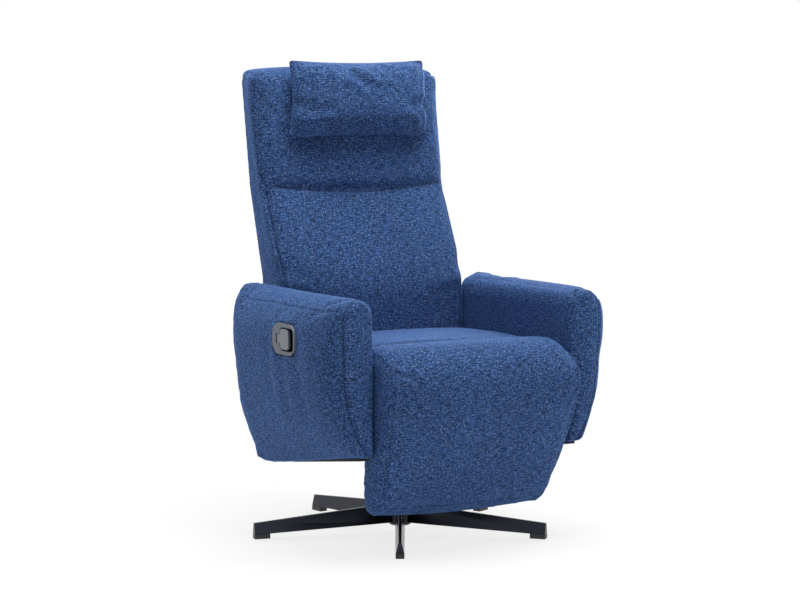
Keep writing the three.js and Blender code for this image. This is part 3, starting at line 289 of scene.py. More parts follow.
@dataclass(frozen=True)
class WovenCloth(Finish):
    """Upholstery cloth, woven from slubby blue melange yarn with pale neps.

    The yarns are spun from dark and light fibres, so no two threads have one colour. The eye sees short
    level streaks, fine upright ones, pale specks, and a soft nap that lightens the edges.
    """

    dark: str = "#0f203d"
    middle: str = "#213d6b"
    light: str = "#3f6199"
    nep: str = "#9fb6da"
    nap: str = "#78a6f2"
    thread: float = 2.0  # mm; the real thread is about 0.8 mm, drawn coarser so that it shows
    slub: float = 17.0  # mm, the length of a thick place in a thread
    weft_share: float = 0.58  # how much of the face the weft covers
    nep_width: float = 1.8  # mm; the real neps are about 0.8 mm thick
    nep_length: float = 5.5  # mm
    nep_cover: float = 0.5  # how much a nep hides of the yarn under it
    patch: float = 140.0  # mm, over which the cloth's tone drifts
    drift: float = 0.05  # how far it drifts
    # How much the painted shade in seams' gaps and creases darkens the cloth.
    seam_painted_shade: float = 0.6
    thread_relief: float = 0.0003  # m

    def shade(self, tree: Tree) -> Inputs:
        """Mixes weft, warp and neps on the piece's own cloth map, and paints shade into seams' gaps and
        creases.

        Args:
            tree: The material's node tree.

        Returns:
            The inputs of the material's Principled shader.
        """
        place = cloth_place(tree)

        def streaks(across: float, along: float, detail: float) -> Socket:
            """Noise stretched to streaks of these sizes in millimetres."""
            cells = (1 / (across * MM), 1 / (along * MM), 1.0)
            grid = add_node(tree, "ShaderNodeVectorMath", {0: place, 1: cells}, operation="MULTIPLY")
            inputs = {"Vector": grid.outputs[0], "Scale": 1.0, "Detail": detail, "Roughness": 0.6}
            return add_node(tree, "ShaderNodeTexNoise", inputs, noise_dimensions="2D").outputs[0]

        weft = add_maths(tree, "MULTIPLY", streaks(self.slub, self.thread, 2.0), self.weft_share)
        warp = streaks(self.thread, self.slub * 0.8, 2.0)
        weave = add_maths(tree, "MULTIPLY_ADD", warp, 1 - self.weft_share, weft)
        yarn = add_ramp(tree, weave, ((0.37, self.dark), (0.5, self.middle), (0.63, self.light)))
        level_neps = streaks(self.nep_length, self.nep_width, 0.0)
        upright_neps = streaks(self.nep_width, self.nep_length, 0.0)
        neps = add_maths(tree, "MAXIMUM", level_neps, upright_neps)
        nep = add_range(tree, neps, 0.0, self.nep_cover, start=0.72, end=0.86)
        colours = {0: nep, 6: yarn, 7: linear_rgba(self.nep)}
        flecked = add_node(tree, "ShaderNodeMix", colours, data_type="RGBA").outputs[2]
        patches = streaks(self.patch, self.patch, 1.0)
        tone = add_range(tree, patches, 1 - self.drift, 1 + self.drift, start=0.3, end=0.7)
        # Painted shade: the cloth is darkened in seams' gaps and creases by the covers' per-point attribute.
        seam = add_node(tree, "ShaderNodeAttribute", attribute_name=PAINTED_SEAM_SHADE).outputs["Fac"]
        shaded = add_maths(tree, "MULTIPLY_ADD", seam, -self.seam_painted_shade, tone)
        colour = add_node(tree, "ShaderNodeVectorMath", {0: flecked, "Scale": shaded}, operation="SCALE")
        raised = add_maths(tree, "MULTIPLY_ADD", nep, 0.3, weave)
        return {
            "Base Color": colour.outputs[0],
            "Roughness": 0.92,
            "Specular IOR Level": 0.18,
            "Sheen Weight": 0.55,
            "Sheen Roughness": 0.4,
            "Sheen Tint": linear_rgba(self.nap),
            "Normal": add_relief(tree, raised, 0.55, self.thread_relief),
        }


@dataclass(frozen=True)
class PowderCoat(Finish):
    """Powder coat on steel: baked polyester with the faint orange peel that the powder leaves."""

    colour: str = "#080c15"
    glint: str = "#dce6ff"
    rough: float = 0.24
    peel: float = 1.6  # mm between the dimples

    def shade(self, tree: Tree) -> Inputs:
        """Adds the orange peel and a slight change of gloss.

        Args:
            tree: The material's node tree.

        Returns:
            The inputs of the material's Principled shader.
        """
        place = object_place(tree)
        peel = add_noise(tree, place, 1 / (self.peel * MM), 1.0)
        haze = add_noise(tree, place, 18.0, 3.0)
        return {
            "Base Color": linear_rgba(self.colour),
            "Roughness": add_range(tree, haze, self.rough - 0.06, self.rough + 0.08),
            "Specular IOR Level": 0.4,
            "Specular Tint": linear_rgba(self.glint),
            "Normal": add_relief(tree, peel, 0.25, 0.0002),
        }


@dataclass(frozen=True)
class Plating(Finish):
    """Plated steel: zinc with a cloudy passivated film, or hard chrome ground and polished round the rod."""

    colour: str = "#a4a8ab"
    rough: float = 0.36
    cloud: float = 9.0  # mm
    stretch: float = 1.0  # how much longer the marks are along Y than across

    def shade(self, tree: Tree) -> Inputs:
        """Adds a cloudy change of gloss.

        Args:
            tree: The material's node tree.

        Returns:
            The inputs of the material's Principled shader.
        """
        stretched = {"Vector": object_place(tree), "Scale": (1.0, 1 / self.stretch, 1.0)}
        place = add_node(tree, "ShaderNodeMapping", stretched).outputs[0]
        cloud = add_noise(tree, place, 1 / (self.cloud * MM), 4.0)
        return {
            "Base Color": linear_rgba(self.colour),
            "Metallic": 1.0,
            "Roughness": add_range(tree, cloud, self.rough * 0.7, self.rough * 1.3),
        }


@dataclass(frozen=True)
class MouldedPlastic(Finish):
    """Injection-moulded plastic with the fine spark-eroded grain of its mould."""

    colour: str = "#5a606b"
    rough: float = 0.5
    grain: float = 0.9  # mm; the real grain is about 0.2 mm, drawn coarser so that it shows

    def shade(self, tree: Tree) -> Inputs:
        """Adds the mould's grain.

        Args:
            tree: The material's node tree.

        Returns:
            The inputs of the material's Principled shader.
        """
        grain = add_noise(tree, object_place(tree), 1 / (self.grain * MM), 2.0)
        return {
            "Base Color": linear_rgba(self.colour),
            "Roughness": add_range(tree, grain, self.rough - 0.05, self.rough + 0.05),
            "Normal": add_relief(tree, grain, 0.3, 0.0001),
        }


@dataclass(frozen=True)
class BirchPlywood(Finish):
    """Birch plywood: a pale face veneer with long grain, and thin plies that show at the edges."""

    pale: str = "#d3b588"
    brown: str = "#b08d5c"
    grain: float = 5.0  # mm between the grain lines
    ply: float = 1.4  # mm, the thickness of a ply

    def shade(self, tree: Tree) -> Inputs:
        """Adds the veneer's grain, and the plies across the board's thickness.

        Args:
            tree: The material's node tree.

        Returns:
            The inputs of the material's Principled shader.
        """
        place = object_place(tree)
        lengthwise = add_node(tree, "ShaderNodeMapping", {"Vector": place, "Scale": (1.0, 1.0, 0.08)})
        grain = add_noise(tree, lengthwise.outputs[0], 1 / (self.grain * MM), 4.0, Distortion=0.6)
        plies = add_waves(tree, place, self.ply, "X", Distortion=0.4)
        mixed = add_maths(tree, "MULTIPLY_ADD", plies, 0.25, grain)
        veneer = add_ramp(tree, mixed, ((0.35, self.brown), (0.75, self.pale)))
        return {"Base Color": veneer, "Roughness": 0.62}


@dataclass(frozen=True)
class FeltedCloth(Finish):
    """Black non-woven dust cloth, bonded from loose fibres with a pressed dot pattern."""

    colour: str = "#1b1c1f"
    fibre: float = 2.0  # mm
    dot: float = 3.0  # mm between the pressed dots

    def shade(self, tree: Tree) -> Inputs:
        """Adds the fibres and the pressed dots.

        Args:
            tree: The material's node tree.

        Returns:
            The inputs of the material's Principled shader.
        """
        place = object_place(tree)
        fibre = add_noise(tree, place, 1 / (self.fibre * MM), 5.0)
        dots = add_node(tree, "ShaderNodeTexVoronoi", {"Vector": place, "Scale": 1 / (self.dot * MM)})
        height = add_maths(tree, "MULTIPLY_ADD", dots.outputs["Distance"], 0.6, fibre)
        return {
            "Base Color": linear_rgba(self.colour),
            "Roughness": 0.95,
            "Sheen Weight": 0.15,
            "Normal": add_relief(tree, height, 0.5, 0.0004),
        }


@dataclass(frozen=True)
class RibbedWebbing(Finish):
    """Narrow woven webbing: ribs of weft over bundled warp, slightly shiny where the thread turns."""

    dark: str = "#16171a"
    light: str = "#34363c"
    rib: float = 2.4  # mm between the ribs

    def shade(self, tree: Tree) -> Inputs:
        """Adds ribs along and across the band.

        Args:
            tree: The material's node tree.

        Returns:
            The inputs of the material's Principled shader.
        """
        place = cloth_place(tree)
        along = add_waves(tree, place, self.rib, "X")
        across = add_waves(tree, place, self.rib / 0.7, "Y")
        weave = add_maths(tree, "MULTIPLY", along, across)
        return {
            "Base Color": add_ramp(tree, weave, ((0.1, self.dark), (0.9, self.light))),
            "Roughness": 0.7,
            "Normal": add_relief(tree, weave, 0.6, 0.0005),
        }


@dataclass(frozen=True)
class SewingThread(Finish):
    """Bonded polyester thread in the cloth's blue: two plies twisted together, slightly shiny."""

    colour: str = "#3c588f"
    twist: float = 1.2  # mm along the thread for one turn of the plies

    def shade(self, tree: Tree) -> Inputs:
        """Adds the twist of the plies.

        Args:
            tree: The material's node tree.

        Returns:
            The inputs of the material's Principled shader.
        """
        plies = add_waves(tree, object_place(tree), self.twist, "DIAGONAL")
        return {
            "Base Color": linear_rgba(self.colour),
            "Roughness": 0.55,
            "Normal": add_relief(tree, plies, 0.5, 0.0002),
        }


UPHOLSTERY = WovenCloth("woven_melange_cloth", "fabric")
THREAD = SewingThread("bonded_polyester_thread", "fabric")
BLACK_COAT = PowderCoat("black_powder_coat", "black_steel")
ZINC = Plating("zinc_plated_steel", "zinc_steel")
CHROME = Plating("ground_chrome_rod", "chrome_rod", colour="#c6c9cd", rough=0.12, cloud=2.0, stretch=8.0)
PLYWOOD = BirchPlywood("birch_plywood", "plywood")
GREY_PLASTIC = MouldedPlastic("grey_moulded_plastic", "grey_plastic")
# The paddle is the bezel's grey plastic, painted lighter to offset the shade in the handle's recess.
LIGHTER_PAINTED_PADDLE_PLASTIC = MouldedPlastic("paddle_plastic_painted_lighter", "grey_plastic", colour="#71777f", rough=0.42)
BLACK_PLASTIC = MouldedPlastic("black_moulded_plastic", "black_plastic", colour="#1c1d20", rough=0.45)
DUST_CLOTH = FeltedCloth("black_dust_cloth", "black_cloth")
WEBBING = RibbedWebbing("black_ribbed_webbing", "webbing")
FINISHES: tuple[Finish, ...] = (
    UPHOLSTERY,
    BLACK_COAT,
    ZINC,
    CHROME,
    PLYWOOD,
    GREY_PLASTIC,
    BLACK_PLASTIC,
    DUST_CLOTH,
    WEBBING,
)


# --------------------------------------------------------------------------------------------------
# Meshes
# --------------------------------------------------------------------------------------------------


def points_of(mesh: bpy.types.Mesh, what: str = "co") -> np.ndarray:
    """Reads a mesh's points or their normals as rows of three numbers."""
    values = np.empty(len(mesh.vertices) * 3, np.float32)
    mesh.vertices.foreach_get(what, values)
    return values.reshape(-1, 3).astype(float)


def set_points(mesh: bpy.types.Mesh, points: np.ndarray) -> None:
    """Moves a mesh's points."""
    mesh.vertices.foreach_set("co", points.astype(np.float32).ravel())
    mesh.update()


def set_attribute(mesh: bpy.types.Mesh, name: str, values: np.ndarray) -> None:
    """Writes one number a point to a mesh's attribute."""
    attribute = mesh.attributes.get(name) or mesh.attributes.new(name, "FLOAT", "POINT")
    attribute.data.foreach_set("value", values.astype(np.float32))


def new_object(name: str, bm: bmesh.types.BMesh) -> bpy.types.Object:
    """Makes a smooth-shaded object at the origin from a bmesh, and frees the bmesh.

    Args:
        name: The piece's name.
        bm: Its mesh, in metres.

    Returns:
        The object, linked to the scene.
    """
    mesh = bpy.data.meshes.new(name)
    bm.to_mesh(mesh)
    bm.free()
    piece = bpy.data.objects.new(name, mesh)
    bpy.context.scene.collection.objects.link(piece)
    mesh.shade_smooth()
    return piece


def copied(nodes: Iterable[str]) -> bmesh.types.BMesh:
    """Copies CAD nodes into one bmesh and merges their loose triangles."""
    bm = bmesh.new()
    for node in nodes:
        bm.from_mesh(bpy.data.objects[node].data)
    bmesh.ops.remove_doubles(bm, verts=bm.verts, dist=0.02 * MM)
    return bm


def soften(
    bm: bmesh.types.BMesh, edges: Iterable[bmesh.types.BMEdge], width: float, segments: int = 2
) -> None:
    """Bevels edges of a bmesh.

    Args:
        bm: The mesh.
        edges: The edges.
        width: The bevel's offset in millimetres.
        segments: How many faces go round it.
    """
    bmesh.ops.bevel(
        bm,
        geom=list(edges),
        offset=width * MM,
        segments=segments,
        profile=0.5,
        affect="EDGES",
        material=-1,
    )


def edges_at(verts: Iterable[bmesh.types.BMVert]) -> set[bmesh.types.BMEdge]:
    """All the edges that end at some points."""
    return {edge for vert in verts for edge in vert.link_edges}


def add_block(
    bm: bmesh.types.BMesh, place: Vector, size: tuple[float, float, float], turn: Matrix | None = None
) -> list[bmesh.types.BMVert]:
    """Adds a block to a bmesh.

    Args:
        bm: The mesh.
        place: The block's middle, in metres.
        size: Its size in millimetres.
        turn: How it is turned.

    Returns:
        Its corners.
    """
    scale = Matrix.Diagonal((*(length * MM for length in size), 1.0))
    matrix = Matrix.Translation(place) @ (Matrix() if turn is None else turn) @ scale
    return bmesh.ops.create_cube(bm, size=1.0, matrix=matrix)["verts"]


@dataclass(frozen=True)
class Infill:
    """Filling where two cushions share one cover: a slab across both, with rounded front corners."""

    half_width: float
    low: tuple[float, float, float]  # its lower end's height, front and rear
    high: tuple[float, float, float]
    corner: float = 26.0

    def add(self, bm: bmesh.types.BMesh) -> None:
        """Adds the slab to a mesh."""
        made = bmesh.ops.create_cube(bm, size=2.0)["verts"]
        front = [vert for vert in made if vert.co.y < 0]
        across = [edge for edge in bm.edges if all(vert in front for vert in edge.verts)]
        uprights = [edge for edge in across if edge.verts[0].co.x == edge.verts[1].co.x]
        for vert in made:
            height, near, far = self.high if vert.co.z > 0 else self.low
            vert.co = Vector((vert.co.x * self.half_width, far if vert.co.y > 0 else near, height)) * MM
        soften(bm, uprights, self.corner, segments=5)


def merged_copy(name: str, nodes: Iterable[str], infill: Iterable[Infill] = ()) -> bpy.types.Object:
    """Copies CAD nodes into one new object and merges their loose triangles.

    Args:
        name: The new piece's name.
        nodes: The nodes.
        infill: Slabs that join them.

    Returns:
        The new object.
    """
    bm = copied(nodes)
    for slab in infill:
        slab.add(bm)
    return new_object(name, bm)


def refined_copy(name: str, nodes: Iterable[str], cuts: int) -> bpy.types.Object:
    """Copies CAD nodes and splits their faces into a finer grid, which keeps thin edges and corners.

    Args:
        name: The new piece's name.
        nodes: The nodes.
        cuts: New points on each edge.

    Returns:
        The new object.
    """
    bm = copied(nodes)
    bmesh.ops.join_triangles(
        bm, faces=bm.faces, angle_face_threshold=math.radians(40), angle_shape_threshold=math.radians(50)
    )
    bmesh.ops.subdivide_edges(bm, edges=bm.edges, cuts=cuts, use_grid_fill=True)
    return new_object(name, bm)


def apply_modifier(piece: bpy.types.Object, kind: str, **settings: object) -> None:
    """Runs one modifier on a piece and keeps its result as the mesh.

    Args:
        piece: The piece.
        kind: The modifier's type.
        **settings: The modifier's properties.
    """
    modifier = piece.modifiers.new(kind, kind)
    for name, value in settings.items():
        setattr(modifier, name, value)
    graph = bpy.context.evaluated_depsgraph_get()
    result = bpy.data.meshes.new_from_object(piece.evaluated_get(graph))
    piece.modifiers.remove(modifier)
    old = piece.data
    piece.data = result
    result.name = old.name + "_"
    bpy.data.meshes.remove(old)
    result.name = piece.name
    result.shade_smooth()


def map_cloth(piece: bpy.types.Object) -> None:
    """Lays the cloth's map on a piece, in metres, so that the weft runs level on every side.

    Args:
        piece: The piece, after its mesh is final.
    """
    mesh = piece.data
    layer = mesh.uv_layers.get(CLOTH_MAP) or mesh.uv_layers.new(name=CLOTH_MAP)
    points = points_of(mesh)
    corners = np.empty(len(mesh.loops), np.int32)
    mesh.loops.foreach_get("vertex_index", corners)
    normals = np.empty(len(mesh.polygons) * 3, np.float32)
    mesh.polygons.foreach_get("normal", normals)
    totals = np.empty(len(mesh.polygons), np.int32)
    mesh.polygons.foreach_get("loop_total", totals)
    facing = np.repeat(np.abs(normals.reshape(-1, 3)).argmax(axis=1), totals)
    place = points[corners]
    across = np.where(facing == 0, place[:, 1], place[:, 0])
    up = np.where(facing == 2, place[:, 1], place[:, 2])
    layer.data.foreach_set("uv", np.column_stack([across, up]).astype(np.float32).ravel())


def dressed(piece: bpy.types.Object, finish: Finish, body: Body, *nodes: str) -> bpy.types.Object:
    """Gives a piece its finish and cloth map, and hands it to its body.

    Args:
        piece: The piece.
        finish: Its finish.
        body: The body that it rides on.
        *nodes: The CAD nodes that it stands for.

    Returns:
        The piece.
    """
    map_cloth(piece)
    piece.data.materials.clear()
    piece.data.materials.append(finish.material())
    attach(piece, body.value)
    if nodes:
        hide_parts(*nodes)
    return piece


# --------------------------------------------------------------------------------------------------
# Soft pieces
# --------------------------------------------------------------------------------------------------


@dataclass(frozen=True)
class Line:
    """A sewn seam or a fold in a cover: a line of points on or near its surface.

    A positive depth sinks the cover, and a negative one raises it. Shade is painted into a seam's gap.
    """

    points: tuple[tuple[float, float, float], ...]
    depth: float = 2.2
    width: float = 3.6
    shade: float = 1.0  # how dark the painted shade in the seam's gap is; a fold has none

    def mirrored(self) -> Line:
        """The same line on the chair's other side."""
        flipped = tuple((-x, y, z) for x, y, z in self.points)
        return Line(flipped, self.depth, self.width, self.shade)


def fold(points: Sequence[tuple[float, float, float]], depth: float, width: float) -> Line:
    """A soft dent or ridge, without a seam's painted shade."""
    return Line(tuple(points), depth, width, 0.0)


@dataclass(frozen=True)
class Stuffing:
    """How a cushion's cover is blown up by cloth simulation."""

    voxel: float = 6.0  # mm
    shrink: float = 4.0  # mm taken off before the cover is blown up
    reach: float = 9.0  # mm, the most that a point moves
    pressure: float = 4.0
    frames: int = 12
    stiffness: float = 12.0
    bending: float = 0.4
    spare: float = 0.0  # share by which the cover is cut larger than its filling, which gives it folds
    mass: float = 0.3
    held_below: float = 0.02  # a point with less freedom than this is pinned


def soft_limit(moves: np.ndarray, reach: float) -> np.ndarray:
    """Shortens moves smoothly so that none is longer than reach."""
    lengths = np.linalg.norm(moves, axis=1, keepdims=True)
    return moves * np.where(lengths > 1e-9, reach * np.tanh(lengths / reach) / np.maximum(lengths, 1e-9), 0)


def smoothstep(value: np.ndarray, low: float, high: float) -> np.ndarray:
    """0 below low, 1 above high and a smooth rise between."""
    share = np.clip((value - low) / (high - low), 0, 1)
    return share * share * (3 - 2 * share)


def blow_up(piece: bpy.types.Object, stuffing: Stuffing, freedom: np.ndarray) -> None:
    """Fills a cover by cloth simulation and keeps the result.

    Args:
        piece: The closed cover.
        stuffing: The simulation's sizes.
        freedom: How far each point may follow the simulation, from 0, held, to 1.
    """
    mesh = piece.data
    start = points_of(mesh) - points_of(mesh, "normal") * (stuffing.shrink * MM * freedom)[:, None]
    set_points(mesh, start)
    held = piece.vertex_groups.new(name="held")
    held.add(np.flatnonzero(freedom < stuffing.held_below).tolist(), 1.0, "REPLACE")
    modifier = piece.modifiers.new("stuffing", "CLOTH")
    cloth = modifier.settings
    cloth.quality = 3
    cloth.shrink_min = -stuffing.spare
    cloth.mass = stuffing.mass
    cloth.tension_stiffness = cloth.compression_stiffness = stuffing.stiffness
    cloth.shear_stiffness = stuffing.stiffness / 2
    cloth.bending_stiffness = stuffing.bending
    cloth.use_pressure = True
    cloth.uniform_pressure_force = stuffing.pressure
    cloth.effector_weights.gravity = 0.0
    cloth.vertex_group_mass = held.name
    modifier.collision_settings.use_collision = False
    modifier.point_cache.frame_start = 1
    modifier.point_cache.frame_end = stuffing.frames
    scene = bpy.context.scene
    for frame in range(1, stuffing.frames + 1):
        scene.frame_set(frame)
    graph = bpy.context.evaluated_depsgraph_get()
    blown = points_of(piece.evaluated_get(graph).data)
    piece.modifiers.remove(modifier)
    piece.vertex_groups.clear()
    scene.frame_set(1)
    moves = soft_limit(blown - start, stuffing.reach * MM) * freedom[:, None]
    set_points(mesh, start + moves)


def line_distance(points: np.ndarray, line: np.ndarray) -> np.ndarray:
    """The distance of each point to a polyline."""
    nearest = np.full(len(points), np.inf)
    for start, end in zip(line[:-1], line[1:], strict=True):
        along = end - start
        share = np.clip((points - start) @ along / max(along @ along, 1e-12), 0, 1)
        nearest = np.minimum(nearest, np.linalg.norm(points - start - share[:, None] * along, axis=1))
    return nearest


def surface_of(piece: bpy.types.Object) -> BVHTree:
    """The piece's surface, to look up its nearest points."""
    bm = bmesh.new()
    bm.from_mesh(piece.data)
    tree = BVHTree.FromBMesh(bm)
    bm.free()
    return tree


def on_surface(surface: BVHTree, line: Line, step: float = 6.0) -> np.ndarray:
    """Lays a line on a piece's surface.

    Args:
        surface: The surface.
        line: The line, near the surface.
        step: Millimetres between its points there.

    Returns:
        The points on the surface, in metres.
    """
    corners = [Vector(p) * MM for p in line.points]
    dense = [corners[0]]
    for start, end in zip(corners[:-1], corners[1:], strict=True):
        count = max(1, round((end - start).length / (step * MM)))
        dense += [start.lerp(end, i / count) for i in range(1, count + 1)]
    return np.array([surface.find_nearest(p)[0] for p in dense])


def press_lines(piece: bpy.types.Object, lines: Iterable[Line]) -> None:
    """Sinks seams and folds into a cover and paints shade into the seams' gaps.

    Args:
        piece: The cover, after its simulation.
        lines: The seams and folds.
    """
    mesh = piece.data
    surface = surface_of(piece)
    points, normals = points_of(mesh), points_of(mesh, "normal")
    shade, sunk = np.zeros(len(points)), np.zeros(len(points))
    for line in lines:
        run = on_surface(surface, line)
        width = line.width * MM
        reach = 6 * width
        low, high = run.min(axis=0) - reach, run.max(axis=0) + reach
        close = np.flatnonzero(np.all((points > low) & (points < high), axis=1))
        near = line_distance(points[close], run) / width
        sink = np.exp(-(near**2))
        puff = 0.3 * np.exp(-((near - 2.4) ** 2))  # the cover swells a little beside the seam
        sunk[close] += line.depth * MM * (sink - puff)
        # Painted shade, darkest on the seam's line and fading beside it.
        shade[close] = np.maximum(shade[close], line.shade * np.exp(-((near * 1.5) ** 2)))
    set_points(mesh, points - normals * sunk[:, None])
    set_attribute(mesh, PAINTED_SEAM_SHADE, shade)


@dataclass(frozen=True)
class StitchRow:
    """A row of sewing stitches that runs beside a seam."""

    seam: Line
    beside: float = 3.2  # mm to one side of the seam; a negative value is the other side
    pitch: float = 5.0
    length: float = 3.6
    thickness: float = 0.8
    lift: float = 0.3  # how far it stands out of the cover, in half thicknesses

    def lay(self, bm: bmesh.types.BMesh, surface: BVHTree) -> None:
        """Adds the stitches to a mesh.

        Args:
            bm: The mesh of all the stitches of a piece.
            surface: The cover that they lie on.
        """
        run = on_surface(surface, self.seam, self.pitch)
        for start, end in zip(run[:-1], run[1:], strict=True):
            middle, along = Vector((start + end) / 2), Vector(end - start)
            if along.length < 0.2 * self.pitch * MM:  # both ends fall on one place of the cover
                continue
            along.normalize()
            out = surface.find_nearest(middle)[1]
            sideways = out.cross(along).normalized()
            place, out = surface.find_nearest(middle + sideways * self.beside * MM)[:2]
            axes = Matrix((along, out.cross(along).normalized(), out)).transposed().to_4x4()
            thin = self.thickness * MM / 2
            size = Matrix.Diagonal((self.length * MM / 2, thin, thin, 1.0))
            stand = Matrix.Translation(place + out * thin * self.lift)
            bmesh.ops.create_icosphere(bm, subdivisions=1, radius=1.0, matrix=stand @ axes @ size)


def stitch(name: str, piece: bpy.types.Object, body: Body, rows: Iterable[StitchRow]) -> bpy.types.Object:
    """Sews rows of stitches on a cover.

    Args:
        name: The new piece's name.
        piece: The cover.
        body: The body that both ride on.
        rows: The rows.

    Returns:
        The stitches.
    """
    bm = bmesh.new()
    surface = surface_of(piece)
    for row in rows:
        row.lay(bm, surface)
    made = new_object(name, bm)
    made.data.materials.append(THREAD.material())
    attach(made, body.value)
    return made


def rounded_corners(
    points: np.ndarray, half_width: float, heights: tuple[float, float], radius: float
) -> np.ndarray:
    """Turns the square corners of an upright panel into quarter circles, seen from the front.

    Args:
        points: The panel's points, in millimetres.
        half_width: Half its width.
        heights: The heights of its bottom and top. A bottom far below leaves the lower corners square.
        radius: The corners' radius.

    Returns:
        The moved points.
    """
    side = (np.abs(points[:, 0]) - (half_width - radius)) / radius
    above, below = (points[:, 2] - heights[1]) / radius + 1, (heights[0] - points[:, 2]) / radius + 1
    rise = np.maximum(above, below)
    corner = (side > 0) & (rise > 0)
    share = np.where(corner, np.maximum(side, rise) / np.maximum(np.hypot(side, rise), 1e-9), 1.0)
    moved = points.copy()
    moved[:, 0] -= np.sign(points[:, 0]) * np.where(corner, side * (1 - share) * radius, 0.0)
    moved[:, 2] -= np.where(above > below, 1, -1) * np.where(corner, rise * (1 - share) * radius, 0.0)
    return moved


Freedom = Callable[[np.ndarray, np.ndarray], np.ndarray]
Shape = Callable[[np.ndarray], np.ndarray]


@dataclass
class SoftPiece:
    """One stuffed piece that stands for soft CAD nodes."""

    name: str
    stands_for: tuple[str, ...]
    body: Body
    freedom: Freedom
    filled_by: tuple[str, ...] = ()
    stuffing: Stuffing = field(default_factory=Stuffing)
    lines: tuple[Line, ...] = ()
    fill: float = 0.8
    smoothing: int = 3
    cuts: int = 0  # if set, the CAD faces are split by so many cuts, and there is no voxel remesh
    infill: tuple[Infill, ...] = ()
    shape: Shape | None = None  # a last change to the points, in millimetres, before the stuffing

    def build(self) -> bpy.types.Object:
        """Copies, remeshes, blows up, refines and sews the piece, and hands it to its body.

        Returns:
            The finished piece.
        """
        if self.cuts:
            piece = refined_copy(self.name, self.stands_for, self.cuts)
        else:
            piece = merged_copy(self.name, (*self.stands_for, *self.filled_by), self.infill)
            apply_modifier(piece, "REMESH", mode="VOXEL", voxel_size=self.stuffing.voxel * MM)
        apply_modifier(piece, "SMOOTH", factor=0.5, iterations=self.smoothing)
        if self.shape is not None:
            set_points(piece.data, self.shape(points_of(piece.data) / MM) * MM)
        points, normals = points_of(piece.data) / MM, points_of(piece.data, "normal")
        blow_up(piece, self.stuffing, np.clip(self.freedom(points, normals), 0, 1))
        apply_modifier(piece, "SUBSURF", levels=1, render_levels=1)
        press_lines(piece, self.lines)
        dressed(piece, UPHOLSTERY, self.body, *self.stands_for)
        log.info("%s: %d faces", piece.name, len(piece.data.polygons))
        return piece


# --------------------------------------------------------------------------------------------------
# Sub-assemblies
# --------------------------------------------------------------------------------------------------


